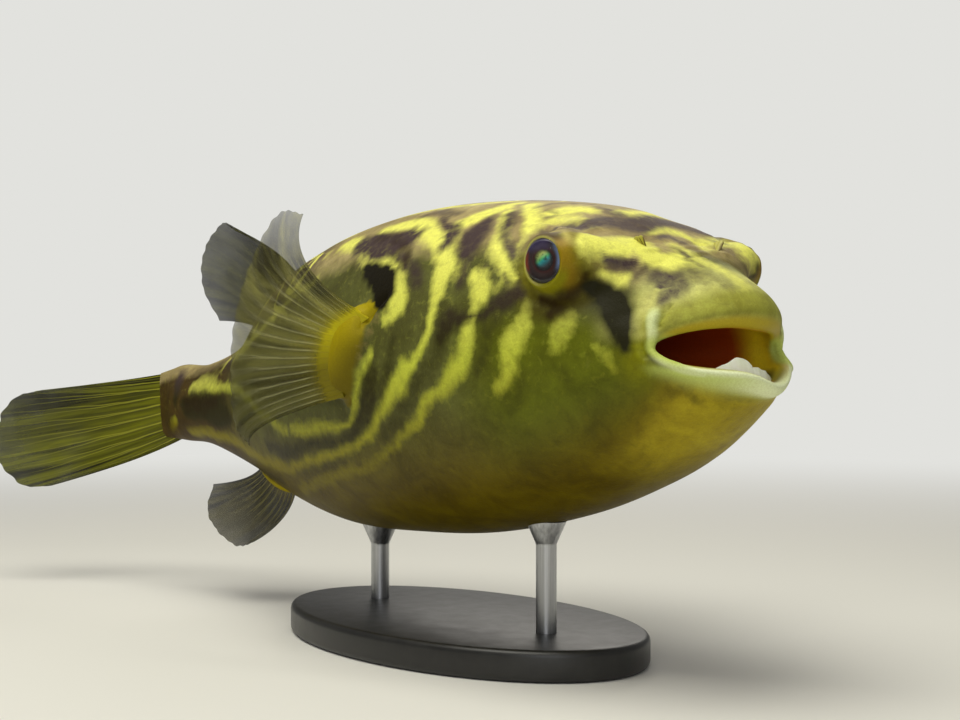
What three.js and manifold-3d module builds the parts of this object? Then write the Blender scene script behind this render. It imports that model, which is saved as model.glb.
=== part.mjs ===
// A giant freshwater puffer (Tetraodon mbu) as a life-size still model, held by a plain display stand.
// Millimetres. The head points along +X, +Z is up and the fish's right side faces -Y.
// The fish is laid out straight first, by how far a point lies back from the lips, out to its side
// and up from the mouth. pose() then bends the tail, tips the nose up and puts the fish in its place.

import * as THREE from 'three';
import { LoftGeometry } from 'three/addons/geometries/LoftGeometry.js';
import { mergeVertices } from 'three/addons/utils/BufferGeometryUtils.js';
import Module from 'manifold-3d';

const wasm = await Module();
wasm.setup();
const { degToRad, lerp, smoothstep } = THREE.MathUtils;

// ---- Driving dimensions ----

const gap = 0.3; // between pieces that touch
const looseGap = gap * 1.3; // allows for the facets where a curved piece meets the body
const mouthPlace = new THREE.Vector3(232.5, 0, 125); // where the lips stand over the floor
const noseUp = degToRad(4.7);
const tailTurn = degToRad(14); // how far the tail end has swung to the fish's right
const turnStart = 165;
const turnEnd = 410;
const ringPoints = 30; // corners on each ring of the body
const facets = { mound: 18, ball: [14, 9], flap: 8, lobe: 10, lobeSteps: 8, rod: 20 };

// Rings round the fish: back from the lips, half width, heights of the top, the bottom and the widest
// level, how far the sides lie behind the middle, squareness above and below (2 is an ellipse), how far
// the underside juts forward, and the steps to the next ring.
const rings = [
  { at: 'throat end', size: [34, 17, 4.5, -10.5, -3, 2, 2, 2, 0], steps: 2 },
  { at: 'throat', size: [23, 24, 6.5, -13, -3, 7, 2.1, 2, 0], steps: 2 },
  { at: 'gum', size: [11, 27, 6, -12, -3, 13, 2.3, 2.2, 1.5], steps: 2 },
  { at: 'lip inside', size: [3, 28, 5, -10.5, -3, 17, 2.4, 2.3, 3], steps: 2 },
  { at: 'lip crest', size: [0, 31, 8, -13, -3, 20, 2.4, 2.3, 3.5], steps: 2 },
  { at: 'lip outside', size: [3, 34, 14, -18, -1, 21, 2.1, 2.2, 3.5], steps: 2 },
  { at: 'snout', size: [10, 36.5, 20.2, -26, 0, 19.5, 1.9, 2.1, 3], steps: 3 },
  { at: 'nostril', size: [25, 41.8, 29.5, -37, 1, 13, 2.05, 2.1, 1], steps: 2 },
  { at: 'brow', size: [40, 46.3, 39, -45, 1.5, 9.5, 2.2, 2.1, 0.3], steps: 2 },
  { at: 'eye', size: [60, 50, 51, -51, 2, 6, 2.4, 2.1, 0], steps: 5 },
  { at: 'cheek', size: [96, 56, 60.2, -59, 0, 0, 2.4, 2.1, 0], steps: 3 },
  { at: 'gill', size: [143, 60, 66.5, -65, -1, 0, 2.3, 2.1, 0], steps: 3 },
  { at: 'shoulder', size: [187, 58, 68, -65, -3, 0, 2.2, 2.1, 0], steps: 3 },
  { at: 'belly', size: [231, 51, 65, -62, -2, 0, 2.1, 2.1, 0], steps: 3 },
  { at: 'vent', size: [274, 39, 55, -52, 1, 0, 2, 2, 0], steps: 3 },
  { at: 'rump', size: [312, 26, 29, -36, -2, 0, 2, 2, 0], steps: 3 },
  { at: 'stalk', size: [350, 17, 19, -22, -1, 0, 2, 2, 0], steps: 3 },
  { at: 'tail root', size: [379, 10, 20, -18, 1, 0, 2, 2, 0], steps: 0 },
];

// The cuts across the body, by how far back they lie.
const cuts = { jaws: 36, gills: 140, waist: 215, vent: 290 };
const mouthLevel = -3; // the jaws part here

const eye = { back: 51.5, side: 45.5, up: 29.5, radius: 8.6, aim: degToRad(8) };
// The swelling round an eye: radius about the way the eye looks, and how far out from the eye's middle.
const eyeMound = [[0, 3.4], [7.8, 3.2], [9.6, 2], [10.8, -1], [12.4, -5], [13.6, -10], [13, -18], [0, -20]];

const nasalFlap = {
  back: 35, side: 17, up: 32.5, height: 7, sunk: 3, width: 4.6, thick: 1.8, spread: 22, lean: 0.3,
  heights: [0, 0.35, 0.65, 0.88, 1], // where its outline is drawn, as shares of its height
};

// Lower teeth: a plate each side of the middle. Heights are of the biting edge, from the outer end inwards.
const toothPlates = {
  right: { from: -13, to: -1.1, edge: [-9.5, -6.2, -5.5, -6.6, -9.8] },
  left: { from: -0.7, to: 11, edge: [-10.2, -10.6, -11.3, -12, -12.8] },
};
const tooth = { back: 2.6, curve: 38, thick: 3.2, root: -17, biteThick: 0.8, biteDrop: 1.2, backDrop: 2.5 };

const pectoral = {
  lobe: [[143, 57, 25], [153, 61, 17], [159, 62, 2], [158, 62, -12]], // back, side, up of the lobe's middle
  lobeRadius: [3.5, 9.5, 9.5, 3.5],
  root: [[144, 59, 23], [155, 66, 16], [161, 68, 3], [161, 65, -10]],
  tip: [
    [158, 77, 61], [168, 81, 63], [186, 85, 47], [199, 87, 24],
    [205, 86, 0], [204, 85, -19], [200, 82, -26],
  ],
  bow: [6, 8, 0],
};
const dorsal = {
  lobe: [[279, 0, 50], [290, 0, 44], [302, 0, 34], [312, 0, 27]],
  lobeRadius: [3, 5, 5, 2.5],
  root: [[282, 0, 51], [292, -1, 45], [302, -1, 36], [310, -1, 29]],
  tip: [[308, -19, 79], [315, -21, 83], [327, -23, 74], [334, -21, 57], [333, -12, 38]],
  bow: [0, 5, 2],
};
const anal = {
  lobe: [[292, 0, -44], [300, 0, -40], [309, 0, -35], [317, 0, -31]],
  lobeRadius: [3, 5, 4.5, 2.5],
  root: [[294, 0, -45], [301, -1, -41], [309, -1, -36], [316, -1, -32]],
  tip: [[316, -11, -69], [324, -13, -71], [338, -15, -63], [347, -13, -52], [346, -9, -41]],
  bow: [0, 5, -2],
};
const caudal = {
  root: [[375, 0, 17.5], [375, 0, 6], [375, 0, -6], [375, 0, -16]],
  tip: [
    [461, -26, 13], [474, -33, 10], [484, -38, -1], [487, -39, -14],
    [483, -37, -27], [471, -32, -37], [458, -25, -38],
  ],
  bow: [0, 9, 0],
};
const finThickness = { root: 2.2, tip: 1 };

const stand = {
  back: 168, long: 196, wide: 112, thick: 12, bevel: 2.5, // the base, centred under this place on the fish
  rods: { front: 112, rear: 226 }, radius: 4, cupRadius: 8, cupHeight: 9, cupRise: 1, seat: 6,
};

// ---- The fish's shape ----

const hands = { right: -1, left: 1 }; // the way out from the middle, along Y

// Smooth run through a row of equally spaced values, flat past both ends.
function through(values, at) {
  const last = values.length - 1;
  const i = Math.min(Math.floor(at), last - 1);
  const t = at - i;
  const [a, b, c, d] = [i - 1, i, i + 1, i + 2].map((k) => values[Math.min(Math.max(k, 0), last)]);
  return (2 * b + (c - a) * t + (2 * a - 5 * b + 4 * c - d) * t ** 2 + (3 * b - a - 3 * c + d) * t ** 3) / 2;
}

const turnAt = (back) => tailTurn * smoothstep(back, turnStart, turnEnd);

function pose(back, side, up) {
  const steps = 80;
  const step = back / steps;
  const middle = new THREE.Vector3();
  for (let i = 0; i < steps; i += 1) {
    const turn = turnAt((i + 0.5) * step);
    middle.x -= Math.cos(turn) * step;
    middle.y -= Math.sin(turn) * step;
  }
  const turn = turnAt(back);
  const point = new THREE.Vector3(-side * Math.sin(turn), side * Math.cos(turn), up).add(middle);
  return point.applyAxisAngle(new THREE.Vector3(0, 1, 0), -noseUp).add(mouthPlace);
}

// The ring at a place along the table, from 0 at the throat's end, grown outwards by some clearance.
function bodyRing(place, grow) {
  const [back, half, top, bottom, widest, corner, above, below, under] =
    rings[0].size.map((_, k) => through(rings.map((ring) => ring.size[k]), place));
  return Array.from({ length: ringPoints }, (_, k) => {
    const angle = (2 * Math.PI * k) / ringPoints;
    const power = 2 / (Math.sin(angle) > 0 ? above : below);
    const across = Math.sign(Math.cos(angle)) * Math.abs(Math.cos(angle)) ** power;
    const along = Math.sign(Math.sin(angle)) * Math.abs(Math.sin(angle)) ** power;
    const height = along > 0 ? top + grow - widest : widest - bottom + grow;
    const depth = back + corner * across ** 2 - under * Math.max(-along, 0);
    return pose(depth, -(half + grow) * across, widest + height * along);
  });
}

// Height of the belly's underside, behind the mouth.
function bottomAt(back) {
  const crest = rings.findIndex((ring) => ring.at === 'lip crest');
  const next = rings.findIndex((ring, i) => i > crest && ring.size[0] > back);
  const [before, after] = [rings[next - 1].size[0], rings[next].size[0]];
  return through(rings.map((ring) => ring.size[3]), next - 1 + (back - before) / (after - before));
}

function bodySolid(grow = 0) {
  const places = rings.flatMap(({ steps }, i) => Array.from({ length: steps }, (_, k) => i + k / steps));
  const sections = [...places, rings.length - 1].map((place) => bodyRing(place, grow));
  const throat = sections[0].reduce((sum, p) => sum.add(p), new THREE.Vector3()).divideScalar(ringPoints);
  sections.unshift(sections[0].map(() => throat)); // the throat closes on its middle
  const mounds = Object.values(hands).map((hand) => eyeMoundSolid(hand, grow));
  return toSolid(new LoftGeometry(sections, { capEnd: true })).add(mounds[0]).add(mounds[1]);
}

// Turns a shape made round the Y axis to look the way an eye does, and sets it at the eye.
function atEye(geometry, hand) {
  if (hand < 0) geometry.rotateZ(Math.PI);
  geometry.rotateZ(-hand * eye.aim);
  geometry.rotateY(-noseUp);
  const place = pose(eye.back, hand * eye.side, eye.up);
  geometry.translate(place.x, place.y, place.z);
  return toSolid(geometry);
}

function eyeMoundSolid(hand, grow) {
  const outline = eyeMound.map(([radius, out]) => new THREE.Vector2(radius && radius + grow, out + grow));
  return atEye(new THREE.LatheGeometry(outline.reverse(), facets.mound), hand);
}

// ---- Solids ----

function toSolid(geometry) {
  const bare = new THREE.BufferGeometry();
  bare.setAttribute('position', geometry.attributes.position);
  bare.setIndex(geometry.index);
  const { attributes, index } = mergeVertices(bare, 1e-3);
  const triVerts = [];
  for (let i = 0; i < index.count; i += 3) {
    const corners = [index.getX(i), index.getX(i + 1), index.getX(i + 2)];
    if (new Set(corners).size === 3) triVerts.push(...corners); // the rest have shrunk to a line
  }
  return new wasm.Manifold(new wasm.Mesh({
    numProp: 3,
    vertProperties: Float32Array.from(attributes.position.array),
    triVerts: Uint32Array.from(triVerts),
  }));
}

function toGeometry(solid) {
  const mesh = solid.getMesh();
  const geometry = new THREE.BufferGeometry();
  geometry.setAttribute('position', new THREE.BufferAttribute(mesh.vertProperties, 3));
  geometry.setIndex(new THREE.BufferAttribute(mesh.triVerts, 1));
  geometry.computeVertexNormals();
  return geometry;
}

// Everything behind (or ahead of) a plane square to the fish's spine.
function cutAcross(back, behind) {
  const size = 600;
  const middle = back + (behind ? 1 : -1) * (size / 2 + gap / 2);
  const box = new THREE.BoxGeometry(size, size, size);
  box.translate(back - middle, 0, 0);
  box.rotateZ(turnAt(back));
  box.rotateY(-noseUp);
  const place = pose(back, 0, 0);
  box.translate(place.x, place.y, place.z);
  return toSolid(box);
}

// Everything above (or below) the level where the jaws part.
function level(above) {
  const size = 200;
  const box = new THREE.BoxGeometry(size, size, size);
  box.translate(0, 0, (above ? 1 : -1) * (size / 2 + gap / 2));
  box.rotateY(-noseUp);
  const place = pose(0, 0, mouthLevel);
  box.translate(place.x, place.y, place.z);
  return toSolid(box);
}

// A curve through a few places on the straight fish, mirrored for the left side.
function track(places, hand) {
  const points = places.map(([back, side, up]) => new THREE.Vector3(back, hand < 0 ? -side : side, up));
  return new THREE.CatmullRomCurve3(points, false, 'centripetal');
}

// A round lobe along a track, with its radius run through the given values.
function lobeSolid(places, radii, hand, grow = 0) {
  const line = track(places, hand);
  const steps = facets.lobeSteps;
  const posed = new THREE.CatmullRomCurve3(line.getPoints(steps).map((p) => pose(p.x, p.y, p.z)));
  const frames = posed.computeFrenetFrames(steps);
  const endRound = { scale: 0.5, reach: 0.6 }; // shares of the radius at the rounded ends
  const sections = [];
  for (let i = 0; i <= steps; i += 1) {
    const radius = through(radii, (i / steps) * (radii.length - 1)) + grow;
    const centre = posed.getPointAt(i / steps);
    const ring = (scale, shift) => Array.from({ length: facets.lobe }, (_, k) => {
      const angle = (2 * Math.PI * k) / facets.lobe;
      return centre.clone()
        .addScaledVector(frames.normals[i], Math.cos(angle) * radius * scale)
        .addScaledVector(frames.binormals[i], Math.sin(angle) * radius * scale)
        .addScaledVector(frames.tangents[i], shift);
    });
    if (i === 0) sections.push(ring(endRound.scale, -endRound.reach * radius));
    sections.push(ring(1, 0));
    if (i === steps) sections.push(ring(endRound.scale, endRound.reach * radius));
  }
  return toSolid(new LoftGeometry(sections, { capStart: true, capEnd: true }));
}

// A fin is a fan of rays from its root line to its margin, each bowed at mid length.
function finSolid({ root, tip, bow }, hand, columns, rows) {
  const rootLine = track(root, hand);
  const tipLine = track(tip, hand);
  const bend = new THREE.Vector3(bow[0], hand < 0 ? -bow[1] : bow[1], bow[2]);
  const surface = (t, s) => {
    const point = rootLine.getPoint(t).lerp(tipLine.getPoint(t), s).addScaledVector(bend, 4 * s * (1 - s));
    return pose(point.x, point.y, point.z);
  };
  const small = 0.01;
  const facing = (t, s) => {
    const [t0, t1] = [Math.max(t - small, 0), Math.min(t + small, 1)];
    const [s0, s1] = [Math.max(s - small, 0), Math.min(s + small, 1)];
    const across = surface(t1, s).sub(surface(t0, s));
    const along = surface(t, s1).sub(surface(t, s0));
    return across.cross(along).normalize();
  };
  const sections = Array.from({ length: columns + 1 }, (_, i) => {
    const t = i / columns;
    const face = (side) => Array.from({ length: rows + 1 }, (__, j) => {
      const s = j / rows;
      const thick = lerp(finThickness.root, finThickness.tip, s);
      return surface(t, s).addScaledVector(facing(t, s), (side * thick) / 2);
    });
    return [...face(-1), ...face(1).reverse()];
  });
  return toSolid(new LoftGeometry(sections, { capStart: true, capEnd: true }));
}

// ---- The pieces ----

const group = new THREE.Group();
const finishes = {
  skin: new THREE.MeshStandardMaterial({ color: 0x8d8a2b, roughness: 0.45, metalness: 0 }),
  lips: new THREE.MeshStandardMaterial({ color: 0xb4c07a, roughness: 0.4, metalness: 0 }),
  lobe: new THREE.MeshStandardMaterial({ color: 0xb89a20, roughness: 0.45, metalness: 0 }),
  fin: new THREE.MeshStandardMaterial({ color: 0x8a8650, roughness: 0.5, metalness: 0 }),
  eye: new THREE.MeshStandardMaterial({ color: 0x2a1606, roughness: 0.1, metalness: 0 }),
  tooth: new THREE.MeshStandardMaterial({ color: 0xdfe8cc, roughness: 0.35, metalness: 0 }),
  base: new THREE.MeshStandardMaterial({ color: 0x2b2622, roughness: 0.5, metalness: 0 }),
  rod: new THREE.MeshStandardMaterial({ color: 0xb9bcc0, roughness: 0.35, metalness: 1 }),
};

function add(name, solid, finish) {
  const mesh = new THREE.Mesh(toGeometry(solid), finish);
  mesh.name = name;
  group.add(mesh);
}

const body = bodySolid();
const bodyClearance = bodySolid(looseGap);

const eyeball = (hand, grow) => atEye(new THREE.SphereGeometry(eye.radius + grow, ...facets.ball), hand);

function toothPlate({ from, to, edge }, grow) {
  const columns = 6;
  const sections = Array.from({ length: columns + 1 }, (_, i) => {
    const side = lerp(from - grow, to + grow, i / columns);
    const top = through(edge, (i / columns) * (edge.length - 1)) + grow;
    const front = tooth.back + side ** 2 / tooth.curve - grow;
    const back = front + tooth.thick + 2 * grow;
    const bite = front + tooth.biteThick;
    return [
      pose(back, side, tooth.root - grow),
      pose(back, side, top - tooth.backDrop),
      pose(bite + tooth.biteThick + 2 * grow, side, top),
      pose(bite, side, top),
      pose(front, side, top - tooth.biteDrop),
      pose(front, side, tooth.root - grow),
    ];
  });
  return toSolid(new LoftGeometry(sections, { capStart: true, capEnd: true }));
}

// Head and jaws, with the eyes and lower teeth let into them.
const front = body.intersect(cutAcross(cuts.jaws, false));
const teeth = Object.entries(toothPlates);
let lowerJaw = front.intersect(level(false));
for (const [hand, plate] of teeth) {
  lowerJaw = lowerJaw.subtract(toothPlate(plate, gap));
  add(`lower_tooth_${hand}`, toothPlate(plate, 0), finishes.tooth);
}
add('lower_jaw', lowerJaw, finishes.lips);
add('upper_jaw', front.intersect(level(true)), finishes.lips);

let head = body.intersect(cutAcross(cuts.jaws, true)).intersect(cutAcross(cuts.gills, false));
for (const [side, hand] of Object.entries(hands)) {
  head = head.subtract(eyeball(hand, gap));
  add(`eye_${side}`, eyeball(hand, 0), finishes.eye);
}
add('head', head, finishes.skin);

// Trunk and tail.
const lengths = [
  ['trunk_front', cuts.gills, cuts.waist],
  ['trunk_rear', cuts.waist, cuts.vent],
  ['tail_stalk', cuts.vent, null],
];
for (const [name, start, end] of lengths) {
  const behind = body.intersect(cutAcross(start, true));
  add(name, end ? behind.intersect(cutAcross(end, false)) : behind, finishes.skin);
}

// A forked flap of skin stands over each nostril.
function nasalFlapSolid(hand) {
  const { back, side, up, height, sunk, width, thick, spread, lean, heights } = nasalFlap;
  const lobes = [-1, 1].map((way) => {
    const sections = heights.map((s) => {
      const apart = Math.sin(degToRad(spread)) * way * s * height;
      const round = Math.max(Math.sin(Math.PI * (0.25 + 0.7 * s)), 0.2); // widest below half height
      const lift = s * (height + sunk) - sunk;
      return Array.from({ length: facets.flap }, (_, k) => {
        const angle = (-2 * Math.PI * k) / facets.flap;
        return pose(
          back + apart + (Math.cos(angle) * width * round) / 2,
          hand * (side + lean * lift + (Math.sin(angle) * thick * hand) / 2),
          up + lift,
        );
      });
    });
    return toSolid(new LoftGeometry(sections, { capStart: true, capEnd: true }));
  });
  return lobes[0].add(lobes[1]).subtract(bodyClearance);
}

for (const [side, hand] of Object.entries(hands)) {
  add(`nasal_flap_${side}`, nasalFlapSolid(hand), finishes.lips);
}

// Fins, each on a fleshy lobe.
function addFin(name, fin, hand, columns, rows) {
  const lobe = lobeSolid(fin.lobe, fin.lobeRadius, hand);
  const lobeClearance = lobeSolid(fin.lobe, fin.lobeRadius, hand, looseGap);
  add(name.replace('fin', 'base'), lobe.subtract(bodyClearance), finishes.lobe);
  const sheet = finSolid(fin, hand, columns, rows);
  add(name, sheet.subtract(lobeClearance).subtract(bodyClearance), finishes.fin);
}

for (const [side, hand] of Object.entries(hands)) {
  addFin(`pectoral_fin_${side}`, pectoral, hand, 14, 4);
}
addFin('dorsal_fin', dorsal, 1, 10, 4);
addFin('anal_fin', anal, 1, 10, 4);
add('caudal_fin', finSolid(caudal, 1, 14, 5).subtract(bodyClearance), finishes.fin);

// ---- The stand ----

const baseCentre = pose(stand.back, 0, 0);
const outline = new THREE.Shape();
outline.absellipse(0, 0, stand.long / 2 - stand.bevel, stand.wide / 2 - stand.bevel, 0, 2 * Math.PI);
const plate = new THREE.ExtrudeGeometry(outline, {
  depth: stand.thick - 2 * stand.bevel,
  bevelThickness: stand.bevel,
  bevelSize: stand.bevel,
  bevelSegments: 2,
  curveSegments: 14,
});
plate.translate(baseCentre.x, baseCentre.y, stand.bevel);

let base = toSolid(plate);
for (const [place, back] of Object.entries(stand.rods)) {
  const top = pose(back, 0, 0);
  const tall = top.z - stand.seat;
  const upright = (radius, height, middle, wide = radius) => {
    const cylinder = new THREE.CylinderGeometry(wide, radius, height, facets.rod);
    cylinder.rotateX(Math.PI / 2);
    cylinder.translate(top.x, top.y, middle);
    return toSolid(cylinder);
  };
  const belly = pose(back, 0, bottomAt(back)).z;
  const cupMiddle = belly + stand.cupRise - stand.cupHeight / 2;
  const cup = upright(stand.radius, stand.cupHeight, cupMiddle, stand.cupRadius);
  const core = upright(stand.radius, tall, stand.seat + tall / 2);
  base = base.subtract(upright(stand.radius + gap, tall, stand.seat - gap + tall / 2));
  add(`stand_rod_${place}`, core.add(cup).subtract(bodyClearance), finishes.rod);
}
add('stand_base', base, finishes.base);

export default group;
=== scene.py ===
import math

import bmesh
import bpy
import numpy as np
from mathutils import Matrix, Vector


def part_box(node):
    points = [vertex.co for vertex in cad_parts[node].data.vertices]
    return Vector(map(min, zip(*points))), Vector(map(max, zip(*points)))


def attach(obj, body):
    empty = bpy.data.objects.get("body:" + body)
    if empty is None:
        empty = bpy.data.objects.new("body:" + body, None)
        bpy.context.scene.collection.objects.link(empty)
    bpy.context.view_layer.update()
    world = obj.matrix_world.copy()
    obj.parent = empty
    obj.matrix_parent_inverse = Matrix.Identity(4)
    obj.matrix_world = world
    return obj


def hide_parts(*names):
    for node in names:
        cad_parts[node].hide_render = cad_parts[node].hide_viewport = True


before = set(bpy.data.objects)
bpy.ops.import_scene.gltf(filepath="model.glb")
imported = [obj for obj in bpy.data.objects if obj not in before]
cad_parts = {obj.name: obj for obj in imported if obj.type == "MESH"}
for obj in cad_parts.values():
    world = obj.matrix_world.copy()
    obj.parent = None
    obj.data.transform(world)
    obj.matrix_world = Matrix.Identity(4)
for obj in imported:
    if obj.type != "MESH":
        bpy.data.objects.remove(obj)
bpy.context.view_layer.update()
print("frame loaded:", len(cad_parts), "nodes")

mm = 0.001
scene = bpy.context.scene


def paint(*shades):  # red, green and blue as read off a display, 0 to 255, made linear
    return tuple(((c / 255 + 0.055) / 1.055) ** 2.4 if c > 10 else c / 255 / 12.92 for c in shades) + (1,)


def ease(value, start, end):  # 0 at start, 1 at end, with soft shoulders
    t = np.clip((np.asarray(value, float) - start) / (end - start), 0, 1)
    return t * t * (3 - 2 * t)


def hump(value, middle, width):  # 1 at the middle, dying away on both sides
    return np.exp(-((value - middle) / width) ** 2)


def through(values, at):  # a smooth run through equally spaced values
    values, at = np.asarray(values, float), np.asarray(at, float)
    last = len(values) - 1
    i = np.clip(np.floor(at), 0, last - 1).astype(int)
    t = at - i
    a, b, c, d = (values[np.clip(i + k, 0, last)] for k in (-1, 0, 1, 2))
    if values.ndim > 1:
        t = t[..., None]
    squared, cubed = 2 * a - 5 * b + 4 * c - d, 3 * b - a - 3 * c + d
    return (2 * b + (c - a) * t + squared * t ** 2 + cubed * t ** 3) / 2


def readAll(items, key, width, kind=float):
    values = np.zeros(len(items) * width, kind)
    items.foreach_get(key, values)
    return values.reshape(-1, width)


def getPlaces(piece):
    return readAll(piece.data.vertices, "co", 3)


def setPlaces(piece, places):
    piece.data.vertices.foreach_set("co", np.asarray(places, float).ravel())
    piece.data.update()


def outward(piece):
    return readAll(piece.data.vertices, "normal", 3)


def readMask(piece, name):
    return readAll(piece.data.attributes[name].data, "value", 1)[:, 0]


def storeMask(piece, name, values):
    layer = piece.data.attributes.new(name, "FLOAT", "POINT")
    layer.data.foreach_set("value", np.asarray(values, np.float32))


def storeVector(piece, name, values):
    layer = piece.data.attributes.new(name, "FLOAT_VECTOR", "POINT")
    layer.data.foreach_set("vector", np.asarray(values, np.float32).ravel())


def pick(*pieces):  # the first one comes out active
    bpy.ops.object.select_all(action="DESELECT")
    bpy.context.view_layer.objects.active = pieces[0]
    for piece in pieces:
        piece.select_set(True)


def inEdit(piece, work):  # runs mesh operators on a piece in edit mode
    pick(piece)
    bpy.ops.object.mode_set(mode="EDIT")
    work()
    bpy.ops.object.mode_set(mode="OBJECT")


def selectFaces(piece, test):  # test takes a face centre
    mesh = bmesh.from_edit_mesh(piece.data)
    bpy.ops.mesh.select_all(action="DESELECT")
    bpy.ops.mesh.select_mode(type="FACE")
    for face in mesh.faces:
        face.select = bool(test(face.calc_center_median()))
    bmesh.update_edit_mesh(piece.data)


def turnOut(merge=None):
    bpy.ops.mesh.select_all(action="SELECT")
    if merge:
        bpy.ops.mesh.remove_doubles(threshold=merge)
    bpy.ops.mesh.normals_make_consistent(inside=False)


def applyModifiers(piece):
    pick(piece)
    for modifier in list(piece.modifiers):
        bpy.ops.object.modifier_apply(modifier=modifier.name)


def thicken(piece, thickness, offset, group=""):
    solid = piece.modifiers.new("thickness", "SOLIDIFY")
    solid.thickness, solid.offset, solid.vertex_group = thickness * mm, offset, group


def roundEdges(piece, width, segments, angle):
    bevel = piece.modifiers.new("edges", "BEVEL")
    bevel.width, bevel.segments, bevel.angle_limit = width * mm, segments, math.radians(angle)
    applyModifiers(piece)


def addGrid(columns, rows):  # a flat grid, and how far across and along it each point is, 0 to 1
    bpy.ops.mesh.primitive_grid_add(x_subdivisions=columns, y_subdivisions=rows, size=2)
    grid = bpy.context.object
    flat = getPlaces(grid)
    return grid, (flat[:, 0] + 1) / 2, (flat[:, 1] + 1) / 2


def addBall(segments, rings, radius=1):
    bpy.ops.mesh.primitive_uv_sphere_add(segments=segments, ring_count=rings, radius=radius)
    return bpy.context.object


def finishPiece(piece, name, material, slot, *nodes):  # smooths, paints and hands a piece over
    pick(piece)
    bpy.ops.object.transform_apply(location=True, rotation=True, scale=True)
    bpy.ops.object.shade_smooth_by_angle(angle=math.radians(50))
    piece.name = piece.data.name = name
    piece.data.materials.append(material)
    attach(piece, "root")
    if nodes:
        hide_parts(*nodes)
    print("made", name, len(piece.data.polygons), "faces")


class Wire:  # a node's output: a sum written with it becomes math nodes
    def __init__(self, tree, socket):
        self.tree, self.socket = tree, socket

    def __add__(self, other):
        return mathNode(self.tree, "ADD", self, other)

    def __sub__(self, other):
        return mathNode(self.tree, "SUBTRACT", self, other)

    def __rsub__(self, other):
        return mathNode(self.tree, "SUBTRACT", other, self)

    def __mul__(self, other):
        return mathNode(self.tree, "MULTIPLY", self, other)

    def __truediv__(self, other):
        return mathNode(self.tree, "DIVIDE", self, other)

    def __abs__(self):
        return mathNode(self.tree, "ABSOLUTE", self)

    def clamped(self):
        self.socket.node.use_clamp = True
        return self


def feed(tree, sockets, values):  # links what comes from a node, and sets the rest
    for key, value in values.items():
        if isinstance(value, Wire):
            tree.links.new(value.socket, sockets[key])
        else:
            sockets[key].default_value = value


def addNode(tree, kind, inputs, **settings):
    node = tree.nodes.new(kind)
    for key, value in settings.items():
        setattr(node, key, value)
    feed(tree, node.inputs, inputs)
    return node


def newWire(tree, kind, output, inputs={}, **settings):
    return Wire(tree, addNode(tree, kind, inputs, **settings).outputs[output])


def mathNode(tree, operation, *values):
    return newWire(tree, "ShaderNodeMath", 0, dict(enumerate(values)), operation=operation)


def mixColour(tree, factor, first, second, blend="MIX"):
    inputs = {0: factor, 6: first, 7: second}
    return newWire(tree, "ShaderNodeMix", 2, inputs, data_type="RGBA", blend_type=blend)


def maskNode(tree, name):
    return newWire(tree, "ShaderNodeAttribute", "Fac", attribute_name=name)


def placeNode(tree, name="fishPlace"):
    return newWire(tree, "ShaderNodeAttribute", "Vector", attribute_name=name)


def objectPlace(tree):
    return newWire(tree, "ShaderNodeTexCoord", "Object")


def stretch(tree, place, *scale):
    return newWire(tree, "ShaderNodeMapping", 0, {"Vector": place, "Scale": scale})


def splitPlace(tree, place):
    return [Wire(tree, part) for part in addNode(tree, "ShaderNodeSeparateXYZ", {0: place}).outputs]


def noiseNode(tree, place, scale, detail=3.0, rough=0.55, warp=0.0):
    inputs = {"Vector": place, "Scale": scale, "Detail": detail, "Roughness": rough, "Distortion": warp}
    return newWire(tree, "ShaderNodeTexNoise", "Fac", inputs)


def rampNode(tree, factor, *stops):
    node = addNode(tree, "ShaderNodeValToRGB", {0: factor})
    ramp = node.color_ramp
    while len(ramp.elements) < len(stops):
        ramp.elements.new(0.5)
    for element, (at, colour) in zip(ramp.elements, stops):
        element.position, element.color = at, colour
    return Wire(tree, node.outputs["Color"])


def bumpNode(tree, height, strength, distance):
    inputs = {"Height": height, "Strength": strength, "Distance": distance}
    return newWire(tree, "ShaderNodeBump", "Normal", inputs)


def newMaterial(name):
    material = bpy.data.materials.new(name)
    material.use_nodes = True
    return material, material.node_tree, material.node_tree.nodes["Principled BSDF"]


def setShader(tree, shader, **inputs):
    feed(tree, shader.inputs, {key.replace("_", " "): value for key, value in inputs.items()})


def newGroup(name, inputs, build):  # build takes the group and its inputs, and returns its outputs by name
    group = bpy.data.node_groups.new(name, "ShaderNodeTree")
    for key, value in inputs.items():
        kind = "NodeSocketVector" if value is None else "NodeSocketFloat"
        socket = group.interface.new_socket(key, in_out="INPUT", socket_type=kind)
        if value is not None:
            socket.default_value = value
    start = group.nodes.new("NodeGroupInput").outputs
    found = build(group, *(Wire(group, start[key]) for key in inputs))
    for key in found:
        group.interface.new_socket(key, in_out="OUTPUT", socket_type="NodeSocketFloat")
    feed(group, group.nodes.new("NodeGroupOutput").inputs, found)
    return group


def useGroup(tree, group, inputs):
    outputs = addNode(tree, "ShaderNodeGroup", inputs, node_tree=group).outputs
    return {socket.name: Wire(tree, socket) for socket in outputs}


def breakUp(group, mask, place, scale, rag, sharpness):  # a mask with a broken rim, as pigment has
    grain = noiseNode(group, place, scale, 3.0, 0.6, 0.4)
    raised = mask + (grain - 0.5) * rag - 0.5
    return {"Mask": (raised * sharpness + 0.5).clamped()}


def granulate(group, place):  # fine granules, pores and soft creases of bare moist skin
    cells = newWire(group, "ShaderNodeTexVoronoi", "Distance", {"Vector": place, "Scale": 1.1}, feature="F1")
    creases = noiseNode(group, place, 0.22, 5.0, 0.62, 0.8)
    fine = noiseNode(group, place, 1.6, 3.0, 0.6)
    return {"Height": cells * -0.3 + (creases * 1.4 + fine), "Speckle": fine}


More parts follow.
